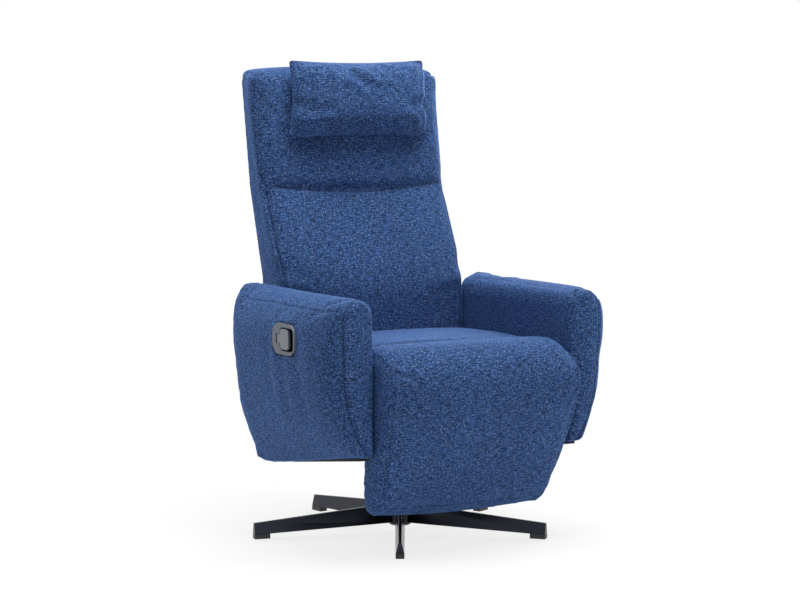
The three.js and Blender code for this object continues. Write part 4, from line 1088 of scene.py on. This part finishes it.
@dataclass
class ArmRest:
    """An upholstered arm with a rounded outer side and a sewn front panel."""

    side: Side
    inner_face: float = 252.0
    rear: float = 185.0
    rear_corners: tuple[tuple[float, int, float, float], ...] = (
        (593.0, 1, 70.0, 1.0),  # height, direction, reach and share of the pull that goes to the rear
        (177.0, -1, 60.0, 0.3),
    )
    squareness: float = 0.6
    top_seam_out: float = 358.0
    top_seam_height: float = 563.0
    panel_outer: tuple[tuple[float, float, float], ...] = (  # the front panel's outer seam, given at +X
        (258, -318, 584),
        (266, -300, 592),
        (290, -302, 590),
        (308, -309, 582),
        (322, -311, 571),
        (330, -314, 556),
        (333, -316, 540),
        (333, -317, 480),
        (332, -317, 415),
        (328, -317, 371),
        (318, -317, 327),
        (300, -320, 282),
        (276, -320, 246),
        (262, -320, 232),
    )
    staple_count: int = 11
    staple: tuple[float, float, float] = (10.0, 1.1, 0.7)

    def freedom(self, points: np.ndarray, normals: np.ndarray) -> np.ndarray:
        """The inner face, beside the seat and footrest, and the underside stay where they are."""
        out = np.abs(points[:, 0])
        clear_of_seat = smoothstep(out, self.inner_face + 2, self.inner_face + 22)
        return clear_of_seat * (1 - 0.9 * smoothstep(-normals[:, 2], 0.3, 0.8))

    def form(self, points: np.ndarray) -> np.ndarray:
        """Draws the cover down over the board's lower edge, and the rear corners out.

        Args:
            points: The cushion's points, in millimetres.

        Returns:
            The moved points.
        """
        lower_edge = 196.0 - 0.132 * points[:, 1]  # it rises to the front
        drop = 1 + 8 * smoothstep(points[:, 1], -310, self.rear)
        moved = points.copy()
        moved[:, 2] -= drop * (1 - smoothstep(points[:, 2] - lower_edge, 0, 50))
        outer = smoothstep(np.abs(points[:, 0]), 280, 325)
        for height, upwards, reach, backwards in self.rear_corners:
            behind = (points[:, 1] - self.rear) / reach + 1
            beyond = (points[:, 2] - height) * upwards / reach + 1
            corner = (behind > 0) & (beyond > 0)
            square = np.hypot(behind, beyond) / np.maximum(np.maximum(behind, beyond), 1e-9)
            stretch = np.where(corner, square**self.squareness - 1, 0) * reach
            back = moved[:, 1] + behind * stretch * backwards
            moved[:, 1] = np.minimum(back, np.maximum(points[:, 1], self.rear - 1))
            level = moved[:, 2] * upwards
            most = np.maximum(level, height * upwards - 1)
            moved[:, 2] = np.minimum(level + beyond * stretch * outer, most) * upwards
        return moved

    def lines(self) -> tuple[Line, ...]:
        """The arm's seams and folds, given for the left arm at +X."""
        top = tuple(
            (self.top_seam_out + bow, y, self.top_seam_height + rise)
            for y, bow, rise in (
                (140, -22, -10),
                (96, 0, -1),
                (-7, 0, 3),
                (-114, 2, 0),
                (-251, -3, -2),
                (-309, -24, 0),
            )
        )
        # The seams get painted shade in their gaps; the folds get none.
        return (
            Line(self.panel_outer),
            Line(top, depth=1.3, width=2.8, shade=0.55),
            fold([(350, 150, 585), (330, 100, 598), (300, 60, 600)], 1.6, 9),
            fold([(355, 90, 588), (335, 30, 598), (300, 10, 600)], -1.2, 10),
            fold([(345, -255, 580), (320, -285, 590), (296, -296, 596)], 1.5, 7),
            fold([(342, -270, 566), (320, -296, 585)], -1.2, 6),
        )

    def handle_folds(self) -> tuple[Line, ...]:
        """Soft dents that the handle's bezel pulls into the outer side, given at +X."""
        return (
            fold([(379, -104, 446), (377, -106, 400), (370, -108, 340)], 2.4, 20),
            fold([(379, -168, 486), (377, -172, 430), (370, -178, 350)], 2.2, 22),
            fold([(379, -48, 486), (377, -44, 430), (372, -40, 370)], 1.6, 18),
            fold([(379, -104, 524), (370, -102, 556)], 1.4, 16),
        )

    def build(self) -> list[bpy.types.Object]:
        """Makes the arm's cushion.

        Returns:
            The pieces of the arm.
        """
        word = self.side.word
        lines = self.lines() + (self.handle_folds() if self.side is Side.RIGHT else ())
        if self.side is Side.RIGHT:
            lines = tuple(line.mirrored() for line in lines)
        cushion = SoftPiece(
            name=f"arm_{word}_upholstery",
            stands_for=(f"arm_cushion_{word}",),
            filled_by=(f"arm_board_{word}",),
            body=Body.CHASSIS,
            freedom=self.freedom,
            shape=self.form,
            lines=lines,
            stuffing=Stuffing(voxel=6.0, shrink=3.0, reach=7.0),
            fill=0.8,
        ).build()
        rows = [StitchRow(seam, beside=3.4 * self.side.value) for seam in lines[:2]]
        return [
            cushion,
            stitch(f"arm_{word}_stitching", cushion, Body.CHASSIS, rows),
            self.underside(),
            self.staples(),
        ]

    def underside(self) -> bpy.types.Object:
        """Makes the strip of dust cloth that closes the arm below, with its edges turned in."""
        word = self.side.word
        strip = merged_copy(f"arm_{word}_dust_cloth", (f"arm_underside_{word}",))
        apply_modifier(strip, "BEVEL", width=1.2 * MM, segments=2, limit_method="ANGLE")
        return dressed(strip, DUST_CLOTH, Body.CHASSIS, f"arm_underside_{word}")

    def staples(self) -> bpy.types.Object:
        """Makes the staples that hold the dust cloth to the arm's board."""
        word = self.side.word
        low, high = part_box(f"arm_underside_{word}")
        middle = (low[0] + high[0]) / 2
        below = low[2] - 50 * MM
        bm = bmesh.new()
        strip = surface_of(bpy.data.objects[f"arm_underside_{word}"])
        for step in range(self.staple_count):
            y = low[1] + (high[1] - low[1]) * (step + 0.5) / self.staple_count
            place, out = strip.find_nearest(Vector((middle, y, below)))[:2]
            add_block(bm, place + out * 0.3 * MM, self.staple)
        soften(bm, bm.edges, 0.2, segments=1)
        made = new_object(f"arm_{word}_staples", bm)
        return dressed(made, ZINC, Body.CHASSIS)


@dataclass
class SeatCushion:
    """The seat's cushion, between the arms and behind the footrest's nose."""

    top: float = 466.0
    sunk_corners: tuple[float, float] = (3.0, 19.0)  # how far the right and left front corner sink
    strap_width: float = 50.0
    strap_gap: float = 12.0
    strap_thickness: float = 1.3

    def freedom(self, points: np.ndarray, normals: np.ndarray) -> np.ndarray:
        """Only the top is free; the rest lies against the webbing, arms, backrest and nose."""
        return smoothstep(normals[:, 2], 0.35, 0.8) * smoothstep(points[:, 2], self.top - 26, self.top - 6)

    def form(self, points: np.ndarray) -> np.ndarray:
        """Sinks the front corners, the sitter's left one more."""
        sunk = np.where(points[:, 0] > 0, self.sunk_corners[1], self.sunk_corners[0])
        place = smoothstep(np.abs(points[:, 0]), 160, 248) * smoothstep(-points[:, 1], 110, 235)
        moved = points.copy()
        moved[:, 2] -= sunk * place * smoothstep(points[:, 2], 430, 470)
        return moved

    def build(self) -> list[bpy.types.Object]:
        """Makes the cushion."""
        # A crease sunk along the seat's front, with painted shadow where the footrest's nose hides the seat.
        nose_crease_painted_shadow = ((-242, -214, 474), (-120, -216, 478), (0, -224, 478), (80, -236, 477))
        return [
            SoftPiece(
                name="seat_upholstery",
                stands_for=("seat_cushion",),
                body=Body.SEAT,
                freedom=self.freedom,
                shape=self.form,
                stuffing=Stuffing(voxel=5.5, shrink=3.0, reach=8.0),
                lines=(
                    fold([(-120, -60, 480), (40, -75, 484), (170, -50, 480)], 1.2, 22),
                    Line(nose_crease_painted_shadow, depth=3.0, width=10.0, shade=1.0),
                ),
                fill=0.8,
            ).build(),
            self.webbing(),
        ]

    def webbing(self) -> bpy.types.Object:
        """Makes the elastic straps that carry the cushion, woven over and under each other."""
        low, high = (Vector(corner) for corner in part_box("seat_webbing"))
        size, middle = high - low, (low + high) / 2
        pitch = (self.strap_width + self.strap_gap) * MM
        counts = [max(2, round((size[axis] + self.strap_gap * MM) / pitch)) for axis in (0, 1)]
        pitches = [size[axis] / counts[axis] for axis in (0, 1)]
        rise = (size.z - self.strap_thickness * MM) / 2 - 0.1 * MM
        flat = 1.6  # how much of a wave's crest is cut flat, where one strap crosses another
        bm = bmesh.new()
        for along in (0, 1):
            across = 1 - along
            for i in range(counts[across]):
                beside = (i + 0.5 - counts[across] / 2) * pitches[across]
                phase = 0.5 * counts[along] + 0.5 + i + along
                made = bmesh.ops.create_grid(bm, x_segments=8 * counts[along], y_segments=2, size=0.5)
                for vert in made["verts"]:
                    run = vert.co.x * size[along]
                    wave = math.cos(math.pi * (run / pitches[along] + phase))
                    point = Vector((0.0, 0.0, rise * max(-1.0, min(1.0, flat * wave))))
                    point[along] = run
                    point[across] = vert.co.y * self.strap_width * MM + beside
                    vert.co = middle + point
        bmesh.ops.recalc_face_normals(bm, faces=bm.faces)
        webbing = new_object("seat_webbing_straps", bm)
        apply_modifier(webbing, "SOLIDIFY", thickness=self.strap_thickness * MM, offset=0.0)
        return dressed(webbing, WEBBING, Body.SEAT, "seat_webbing")


@dataclass
class Footrest:
    """The padded panel that hangs in front of the seat, with its nose over the axle."""

    half_width: float = 250.0
    axle: tuple[float, float] = (-301.8, 390.0)
    nose_radius: float = 96.0
    shoulders: tuple[float, float] = (22.0, 58.0)  # the radius of the right and left upper corner
    ripple: float = 0.35  # mm, the height of the dust cloth's ripples

    def nose_change(self, points: np.ndarray) -> np.ndarray:
        """Rounds the nose's shoulders, and fills its rear at the sitter's right against the seat."""
        change = np.zeros_like(points)
        across, left = np.abs(points[:, 0]), points[:, 0] > 0
        ahead, above = self.axle[0] - points[:, 1], points[:, 2] - self.axle[1]
        out, angle = np.hypot(ahead, above), np.degrees(np.arctan2(above, ahead))
        skin = smoothstep(out, 55, 75) * (above > 0)
        radius = np.where(left, self.shoulders[1], self.shoulders[0])
        side = np.clip((across - (self.half_width - radius)) / radius, 0, 1)
        inset = (1 - 1 / np.hypot(1, side)) * radius
        upper = smoothstep(angle, 8, 50) * (1 - smoothstep(angle, 96, 116)) * skin
        rear = smoothstep(angle, 92, 112) * (1 - smoothstep(angle, 150, 170)) * skin
        filled = rear * smoothstep(across, 175, 215) * (1 - smoothstep(across, 244, 252)) * ~left
        outwards = 0.75 * filled * np.maximum(self.nose_radius - 2 - out, 0) - upper * inset
        change[:, 0] = -np.sign(points[:, 0]) * upper * side * inset * 0.6
        change[:, 1] = -ahead / np.maximum(out, 1) * outwards
        change[:, 2] = above / np.maximum(out, 1) * outwards
        return change

    def rail_room(self, points: np.ndarray) -> np.ndarray:
        """Room for the seat rails' front plates, which meet the nose's rear wall when it is folded out."""
        change = np.zeros_like(points)
        across, height = np.abs(points[:, 0]), points[:, 2]
        wall = 1 - smoothstep(np.abs(points[:, 1] + 285), 4, 10)
        level = smoothstep(height, 396, 402) * (1 - smoothstep(height, 440, 458))
        change[:, 1] = -4 * wall * level * smoothstep(across, 186, 196) * (1 - smoothstep(across, 222, 230))
        return change

    def lower_end(self, points: np.ndarray) -> np.ndarray:
        """Brings the lower end forward and its corners down."""
        change = np.zeros_like(points)
        height = points[:, 2]
        edge = np.clip(np.abs(points[:, 0]) / 235, 0, 1) ** 2
        depth = -points[:, 1] - 195.5 - 0.374 * (height - 106.6)  # in front of the dust cloth
        low = 1 - smoothstep(height, 120, 330)
        change[:, 1] = -low * (6 + 15 * edge) * smoothstep(depth, 5, 45)
        change[:, 2] = -6 * edge * (1 - smoothstep(height, 110, 190))
        return change

    def form(self, points: np.ndarray) -> np.ndarray:
        """Draws the pad's outline to the photograph's.

        Args:
            points: The pad's points, in millimetres.

        Returns:
            The moved points.
        """
        return points + self.nose_change(points) + self.rail_room(points) + self.lower_end(points)

    def freedom(self, points: np.ndarray, normals: np.ndarray) -> np.ndarray:
        """The sides pass close to the arms and the nose turns close to the seat, so both are held."""
        front = smoothstep(-normals[:, 1], -0.2, 0.35)
        off_sides = smoothstep(self.half_width - np.abs(points[:, 0]), 2, 24)
        off_seat = smoothstep(-points[:, 1], 244, 290)
        low_front = smoothstep(400 - points[:, 2], 0, 40)
        return front * off_sides * np.maximum(off_seat, low_front)

    def build(self) -> list[bpy.types.Object]:
        """Makes the padded panel."""
        side = ((232, -372, 440), (236, -376, 390), (233, -360, 330), (226, -330, 240), (214, -280, 140))
        # The seams get painted shade in their gaps; the folds get none.
        side_seam = Line(side, depth=1.2, width=3.0, shade=0.5)
        hem = tuple((x, -246, 112 + 20 * (x / self.half_width) ** 2) for x in range(-210, 211, 30))
        return [
            self.lining(),
            SoftPiece(
                name="footrest_upholstery",
                stands_for=("footrest_pad",),
                filled_by=("footrest_board",),
                body=Body.FOOTREST,
                freedom=self.freedom,
                shape=self.form,
                stuffing=Stuffing(voxel=6.0, shrink=3.0, reach=7.0),
                lines=(
                    side_seam,
                    side_seam.mirrored(),
                    Line(hem, depth=1.2, width=3.0, shade=0.4),
                    fold([(-236, -384, 430), (-205, -392, 424), (-182, -394, 405)], 1.8, 6),
                    fold([(-238, -384, 412), (-212, -392, 402), (-196, -394, 380)], 1.6, 6),
                    fold([(-40, -388, 440), (60, -392, 434), (170, -388, 430), (215, -380, 424)], 0.9, 7),
                    fold([(20, -392, 420), (120, -392, 416), (218, -380, 408)], 0.8, 7),
                ),
                fill=0.85,
            ).build(),
        ]

    def lining(self) -> bpy.types.Object:
        """Makes the dust cloth behind the panel, a little slack between its fixings."""
        cloth = refined_copy("footrest_dust_cloth", ("footrest_lining",), 9)
        points = points_of(cloth.data)
        low, high = points.min(axis=0), points.max(axis=0)
        share = (points - low) / (high - low)
        slack = np.sin(math.pi * share[:, 0]) * np.sin(math.pi * share[:, 2])
        waves = np.sin(share[:, 0] * 21.0 + 3.0 * share[:, 2]) * np.sin(share[:, 2] * 9.0 + 1.0)
        outwards = (0.0, 0.94, -0.34)
        set_points(cloth.data, points + np.outer(slack * waves * self.ripple * MM, outwards))
        return dressed(cloth, DUST_CLOTH, Body.FOOTREST, "footrest_lining")


@dataclass
class Backrest:
    """Lumbar and head cushions over the tube frame, closed behind by a padded cover."""

    half_width: float = 248.0
    arm_top: float = 600.0
    top: float = 1089.0
    cover_top: float = 1077.0
    tooth_pitch: float = 3.0
    tooth: tuple[float, float, float] = (1.3, 1.6, 2.6)

    def freedom(self, points: np.ndarray, normals: np.ndarray) -> np.ndarray:
        """The front and the upper sides are free; what lies between the arms or against the cover is held."""
        front = smoothstep(-normals[:, 1], 0.1, 0.5)
        upper = smoothstep(points[:, 2], self.arm_top - 20, self.arm_top + 30)
        outer = smoothstep(np.abs(points[:, 0]), self.half_width - 22, self.half_width - 6)
        top = smoothstep(normals[:, 2], 0.3, 0.8) * smoothstep(points[:, 2], 1040, 1070)
        sides = upper * outer * smoothstep(np.abs(normals[:, 0]), 0.3, 0.8) * 0.6
        between_arms = 1 - outer * (1 - upper)
        return np.maximum.reduce([front * between_arms, sides, top])

    def build(self) -> list[bpy.types.Object]:
        """Makes both cushions and the cover."""
        # The boxing seams get painted shade in their gaps.
        upper_edge = ((243, 250, 798), (244, 197, 686), (241, 162, 610))
        lower_edge = ((237, 149, 560), (236, 147, 480), (236, 147, 375))
        lumbar_edge = Line((*upper_edge, *lower_edge), depth=2.2, width=4.0, shade=0.8)
        head_points = ((243, 254, 806), (254, 268, 860), (257, 276, 905), (257, 292, 990), (244, 300, 1060))
        head_edge = Line(head_points, depth=1.2, width=3.4, shade=0.4)
        # The crease where the head cushion meets the lumbar one, with painted shade under the head cushion's
        # overhang.
        bows = ((x, (x / self.half_width) ** 2) for x in range(-240, 241, 24))
        head_crease_painted_shade = Line(tuple((x, 228 + 26 * bow, 797 + 14 * bow) for x, bow in bows), depth=1.6, width=4.5)
        cushions = SoftPiece(
            name="backrest_upholstery",
            stands_for=("lumbar_cushion", "head_cushion"),
            body=Body.BACKREST,
            freedom=self.freedom,
            infill=(Infill(247.0, (776.0, 237.0, 317.0), (840.0, 257.0, 332.0)),),
            shape=self.form,
            lines=(head_crease_painted_shade, lumbar_edge, lumbar_edge.mirrored(), head_edge, head_edge.mirrored()),
            fill=0.85,
        )
        cover = SoftPiece(
            name="back_cover_upholstery",
            stands_for=("back_cover",),
            body=Body.BACKREST,
            freedom=self.cover_freedom,
            stuffing=Stuffing(voxel=5.0, shrink=1.0, reach=4.0),
            shape=self.cover_shape,
            # The zip's seam, with painted shade in its gap.
            lines=(Line(((-212, 244, 388), (0, 252, 388), (212, 244, 388)), depth=1.6),),
            smoothing=2,
            fill=0.4,
        )
        apron_seam = ((-244, 158, 198), (0, 158, 198), (244, 158, 198))
        apron = SoftPiece(
            name="rear_apron_upholstery",
            stands_for=("rear_apron",),
            body=Body.CHASSIS,
            freedom=lambda points, normals: smoothstep(np.abs(normals[:, 1]), 0.5, 0.9),
            stuffing=Stuffing(voxel=2.6, shrink=1.0, reach=1.2),
            smoothing=1,
            # A seam with painted shade in its gap.
            lines=(Line(apron_seam, depth=0.8, width=2.4, shade=0.6),),
            fill=0.3,
        )
        built = [piece.build() for piece in (cushions, cover, apron)]
        return [*built, self.zip(built[1])]

    def form(self, points: np.ndarray) -> np.ndarray:
        """Rounds the top's corners and widens the front above the arms."""
        moved = rounded_corners(points, self.half_width, (0.0, self.top), 26.0)
        height = points[:, 2]
        front = np.interp(height, (588.0, 806.0, self.top), (146.0, 248.0, 293.0))
        near_front = 1 - smoothstep(points[:, 1] - front, 12, 62)
        swell = 8.0 * smoothstep(height, self.arm_top, 655) + 3.0 * smoothstep(height, 640, 880)
        widened = near_front * swell * smoothstep(np.abs(points[:, 0]), 140, 240)
        moved[:, 0] += np.sign(points[:, 0]) * widened
        return moved

    def under_strap(self, points: np.ndarray) -> np.ndarray:
        """1 where the pillow's strap and counterweight lie on the cover, and 0 away from them."""
        across, height = np.abs(points[:, 0]), points[:, 2]
        strap = (1 - smoothstep(across, 22, 48)) * smoothstep(height, 890, 915)
        pressed = smoothstep(height, 880, 900) * (1 - smoothstep(height, 962, 985))
        return np.maximum(strap, (1 - smoothstep(across, 88, 112)) * pressed)

    def cover_freedom(self, points: np.ndarray, normals: np.ndarray) -> np.ndarray:
        """The cover swells to the rear, but not under the strap."""
        return smoothstep(normals[:, 1], 0.3, 0.8) * (1 - self.under_strap(points))

    def cover_shape(self, points: np.ndarray) -> np.ndarray:
        """Rounds the cover's corners and sinks it a little under the strap."""
        moved = rounded_corners(points, self.half_width - 6, (0.0, self.cover_top), 24.0)
        moved[:, 1] -= 0.9 * self.under_strap(points)
        return moved

    def zip(self, cover: bpy.types.Object) -> bpy.types.Object:
        """Makes the zip near the cover's lower edge: two rows of teeth and a slider.

        Args:
            cover: The finished cover.

        Returns:
            The zip.
        """
        surface = surface_of(cover)
        seam = Line(((-206, 252, 388), (206, 252, 388)))
        bm = bmesh.new()
        run = on_surface(surface, seam, self.tooth_pitch)
        for number, place in enumerate(run):
            out = surface.find_nearest(Vector(place))[1]
            side = 0.8 if number % 2 else -0.8
            centre = Vector(place) + out * 0.6 * MM + Vector((0, 0, side * MM))
            add_block(bm, centre, self.tooth, out.to_track_quat("Y", "Z").to_matrix().to_4x4())
        end = Vector(run[-1])
        slider = add_block(bm, end + Vector((0, 1.4, 0)) * MM, (9.0, 2.4, 6.0))
        pull = add_block(bm, end + Vector((0, 2.8, -11)) * MM, (5.0, 1.2, 20.0))
        soften(bm, edges_at((*slider, *pull)), 0.5)
        return dressed(new_object("back_cover_zip", bm), BLACK_PLASTIC, Body.BACKREST)


@dataclass
class HeadPillow:
    """A loose pillow on a strap over the backrest, balanced by a weight behind."""

    half_width: float = 184.0
    heights: tuple[float, float] = (923.0, 1107.0)
    lean: float = 7.0
    spread: float = 7.0

    def form(self, points: np.ndarray) -> np.ndarray:
        """Rounds the corners, spreads the lower ones and leans the top to the sitter's left."""
        moved = rounded_corners(points, self.half_width, self.heights, 13.0)
        outer = smoothstep(np.abs(points[:, 0]), 100, self.half_width)
        lower = outer * (1 - smoothstep(points[:, 2], 930, 1010))
        moved[:, 0] += self.lean * smoothstep(points[:, 2], 970, 1100)
        moved[:, 0] += np.sign(points[:, 0]) * self.spread * lower
        return moved

    def build(self) -> list[bpy.types.Object]:
        """Makes the pillow and its counterweight."""
        pillow = SoftPiece(
            name="pillow_upholstery",
            stands_for=("head_pillow",),
            body=Body.PILLOW,
            freedom=lambda points, normals: smoothstep(-normals[:, 1], -0.3, 0.3),
            stuffing=Stuffing(shrink=3.0, reach=9.0, bending=0.15, spare=0.05),
            cuts=3,
            shape=self.form,
            lines=(
                fold([(-64, 200, 1100), (-38, 186, 1078), (4, 178, 1046)], 4.6, 10),
                fold([(-30, 200, 1100), (8, 186, 1080), (34, 178, 1058)], -2.6, 9),
                fold([(-100, 200, 1098), (-116, 190, 1066)], 3.2, 9),
                fold([(52, 200, 1100), (70, 186, 1072)], 2.6, 8),
                fold([(-170, 205, 1000), (-140, 190, 988), (-108, 180, 992)], 4.2, 12),
                fold([(176, 214, 1000), (150, 194, 1006), (120, 184, 998)], 5.0, 10),
                fold([(-150, 200, 948), (-118, 186, 966)], 3.0, 9),
                fold([(130, 200, 948), (104, 186, 964)], 2.6, 9),
            ),
            smoothing=2,
            fill=0.7,
        )
        weight = SoftPiece(
            name="counterweight_upholstery",
            stands_for=("pillow_weight",),
            body=Body.COUNTERWEIGHT,
            freedom=lambda points, normals: smoothstep(normals[:, 1], 0.0, 0.5),
            stuffing=Stuffing(voxel=4.0, shrink=1.0, reach=3.0),
            smoothing=2,
            fill=0.9,
        )
        return [pillow.build(), weight.build(), self.strap("pillow_strap"), self.strap("pillow_strap_rear")]

    def strap(self, node: str) -> bpy.types.Object:
        """Makes a part of the strap, with softly rounded edges."""
        band = refined_copy(f"{node}_webbing", (node,), 2)
        apply_modifier(band, "BEVEL", width=0.4 * MM, segments=2, limit_method="ANGLE")
        return dressed(band, WEBBING, Body.BACKREST, node)


# --------------------------------------------------------------------------------------------------
# Carried-over nodes
# --------------------------------------------------------------------------------------------------


def dress_nodes(frame: dict) -> None:
    """Gives every CAD node the finish of its material slot, and rounds the edges of the hard ones.
    """
    by_slot = {finish.slot: finish for finish in FINISHES}
    # The paddle gets the grey plastic painted lighter.
    by_node = {"release_paddle": LIGHTER_PAINTED_PADDLE_PLASTIC}
    rounding = {BLACK_COAT.slot: 0.9, GREY_PLASTIC.slot: 0.6, BLACK_PLASTIC.slot: 0.6}
    for name, node in frame["nodes"].items():
        for place in node.material_slots:
            slot = place.material.name.split(".")[0]
            place.material = by_node.get(name, by_slot[slot]).material()
            if slot in rounding:
                node.modifiers.new("weld", "WELD").merge_threshold = 0.01 * MM
                edge = node.modifiers.new("edge", "BEVEL")
                edge.width = rounding[slot] * MM
                edge.segments = 2
                edge.angle_limit = math.radians(40)  # facets of round parts stay as they are


@dataclass
class Hardware:
    """Bolts that hold the swivel's plate to the chassis."""

    head: float = 13.0  # mm across the flats
    head_height: float = 5.3
    washer: float = 17.0
    washer_thickness: float = 1.6
    inset: float = 18.0

    def bolt(self, bm: bmesh.types.BMesh, place: Vector) -> None:
        """Adds a washer and a hexagonal head that points down.

        Args:
            bm: The mesh of all the bolts.
            place: The middle of the face that the washer lies against.
        """

        def disc(sides: int, across: float, top: float, height: float) -> list[bmesh.types.BMVert]:
            """Adds a disc or prism of these millimetres below the place."""
            middle = Matrix.Translation(place - Vector((0, 0, top + height / 2)) * MM)
            radius = across * MM / 2
            return bmesh.ops.create_cone(
                bm,
                cap_ends=True,
                segments=sides,
                radius1=radius,
                radius2=radius,
                depth=height * MM,
                matrix=middle,
            )["verts"]

        disc(28, self.washer, 0, self.washer_thickness)
        head = disc(6, 2 * self.head / math.sqrt(3), self.washer_thickness, self.head_height)
        soften(bm, edges_at(head), 0.6)

    def build(self) -> list[bpy.types.Object]:
        """Makes the four bolts of the mount plate."""
        low, high = (Vector(corner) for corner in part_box("mount_plate"))
        bm = bmesh.new()
        for x in (low.x + self.inset * MM, high.x - self.inset * MM):
            for y in (low.y + self.inset * MM, high.y - self.inset * MM):
                self.bolt(bm, Vector((x, y, low.z)))
        return [dressed(new_object("mount_plate_bolts", bm), ZINC, Body.CHASSIS)]


# --------------------------------------------------------------------------------------------------
# Studio
# --------------------------------------------------------------------------------------------------


@dataclass(frozen=True)
class Softbox:
    """A square lamp that looks at the chair. Its place and size are in metres, and its power in watts."""

    name: str
    place: tuple[float, float, float]
    size: float
    power: float

    def build(self, target: Vector) -> None:
        """Adds the lamp."""
        lamp = bpy.data.lights.new(self.name, "AREA")
        lamp.shape = "SQUARE"
        lamp.size = self.size
        lamp.energy = self.power
        holder = bpy.data.objects.new(self.name, lamp)
        holder.location = self.place
        holder.rotation_euler = (target - Vector(self.place)).to_track_quat("-Z", "Y").to_euler()
        bpy.context.scene.collection.objects.link(holder)


@dataclass
class Studio:
    """Camera at the photograph's angle, softboxes, and a white floor and background.

    The camera was solved from the star's arms, the parallel arms and the plumb column.
    """

    camera_place: tuple[float, float, float] = (-2.943, -5.280, 1.11)
    heading: float = 29.0  # degrees
    pitch: float = -5.3  # degrees
    focal_pixels: float = 2598.0
    frame_pixels: float = 800.0
    target: tuple[float, float, float] = (0.0, 0.0, 0.55)  # where the softboxes look
    surround_level: float = 0.23
    softboxes: tuple[Softbox, ...] = (
        Softbox("key_overhead", (0.1, -0.5, 3.4), 2.2, 126),
        Softbox("rim_left", (-2.0, 2.5, 2.2), 1.4, 30),
        Softbox("rim_right", (2.4, 1.9, 1.9), 1.4, 52),
        Softbox("front_fill", (1.4, -4.4, 1.9), 2.2, 26),
    )

    def add_camera(self) -> None:
        """Adds the camera."""
        data = bpy.data.cameras.new("camera")
        data.sensor_width = 36.0
        data.lens = self.focal_pixels / self.frame_pixels * data.sensor_width
        camera = bpy.data.objects.new("camera", data)
        heading, pitch = math.radians(self.heading), math.radians(self.pitch)
        level = math.cos(pitch)
        look = Vector((math.sin(heading) * level, math.cos(heading) * level, math.sin(pitch)))
        camera.location = self.camera_place
        camera.rotation_euler = look.to_track_quat("-Z", "Y").to_euler()
        bpy.context.scene.collection.objects.link(camera)
        bpy.context.scene.camera = camera

    def seen(self, tree: Tree) -> Socket:
        """1 for rays that show the background: from the camera, or off gloss or through glass."""
        rays = add_node(tree, "ShaderNodeLightPath").outputs
        either = add_maths(tree, "MAXIMUM", rays["Is Camera Ray"], rays["Is Glossy Ray"])
        return add_maths(tree, "MAXIMUM", either, rays["Is Transmission Ray"])

    def add_floor(self) -> None:
        """Adds a white floor that keeps the chair's shadow and otherwise shows as white."""
        bm = bmesh.new()
        bmesh.ops.create_grid(bm, x_segments=1, y_segments=1, size=30.0)
        floor = new_object("floor", bm)
        material = bpy.data.materials.new("white_seamless_paper")
        material.use_nodes = True
        tree = material.node_tree
        tree.nodes.clear()
        paper = add_node(tree, "ShaderNodeBsdfDiffuse", {"Color": linear_rgba("#f2f2f2")})
        white = add_node(tree, "ShaderNodeEmission", {"Strength": 1.0})
        away = add_node(tree, "ShaderNodeVectorMath", {0: object_place(tree)}, operation="LENGTH")
        ends = {"From Min": 0.5, "From Max": 1.3, "To Min": 0.8, "To Max": 1.0}  # from metres to shares
        plain = add_node(
            tree,
            "ShaderNodeMapRange",
            {"Value": away.outputs["Value"], **ends},
            interpolation_type="SMOOTHSTEP",
        )
        share = add_maths(tree, "MULTIPLY", self.seen(tree), plain.outputs[0])
        mixed = add_node(
            tree, "ShaderNodeMixShader", {0: share, 1: paper.outputs[0], 2: white.outputs[0]}
        )
        add_node(tree, "ShaderNodeOutputMaterial", {"Surface": mixed.outputs[0]})
        floor.data.materials.append(material)

    def add_world(self) -> None:
        """Adds an even surround that shows as white and lights at a plain level."""
        world = bpy.data.worlds.new("white_surround")
        bpy.context.scene.world = world
        world.use_nodes = True
        tree = world.node_tree
        tree.nodes.clear()
        level = add_range(tree, self.seen(tree), self.surround_level, 1.0)
        surround = add_node(
            tree, "ShaderNodeBackground", {"Color": linear_rgba("#ffffff"), "Strength": level}
        )
        add_node(tree, "ShaderNodeOutputWorld", {"Surface": surround.outputs[0]})

    def build(self) -> None:
        """Adds everything that isn't the chair."""
        bpy.context.scene.view_settings.view_transform = "Standard"
        self.add_camera()
        self.add_floor()
        self.add_world()
        for softbox in self.softboxes:
            softbox.build(Vector(self.target))


def main() -> None:
    """Builds the chair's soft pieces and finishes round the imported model."""
    logging.basicConfig(level=logging.INFO, format="%(name)s: %(message)s")
    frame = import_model()
    Studio().build()
    dress_nodes(frame)
    parts = (
        ArmRest(Side.RIGHT),
        ArmRest(Side.LEFT),
        SeatCushion(),
        Footrest(),
        Backrest(),
        HeadPillow(),
        Hardware(),
    )
    for part in parts:
        for piece in part.build():
            log.info("%s done", piece.name)


if __name__ == "__main__":
    main()
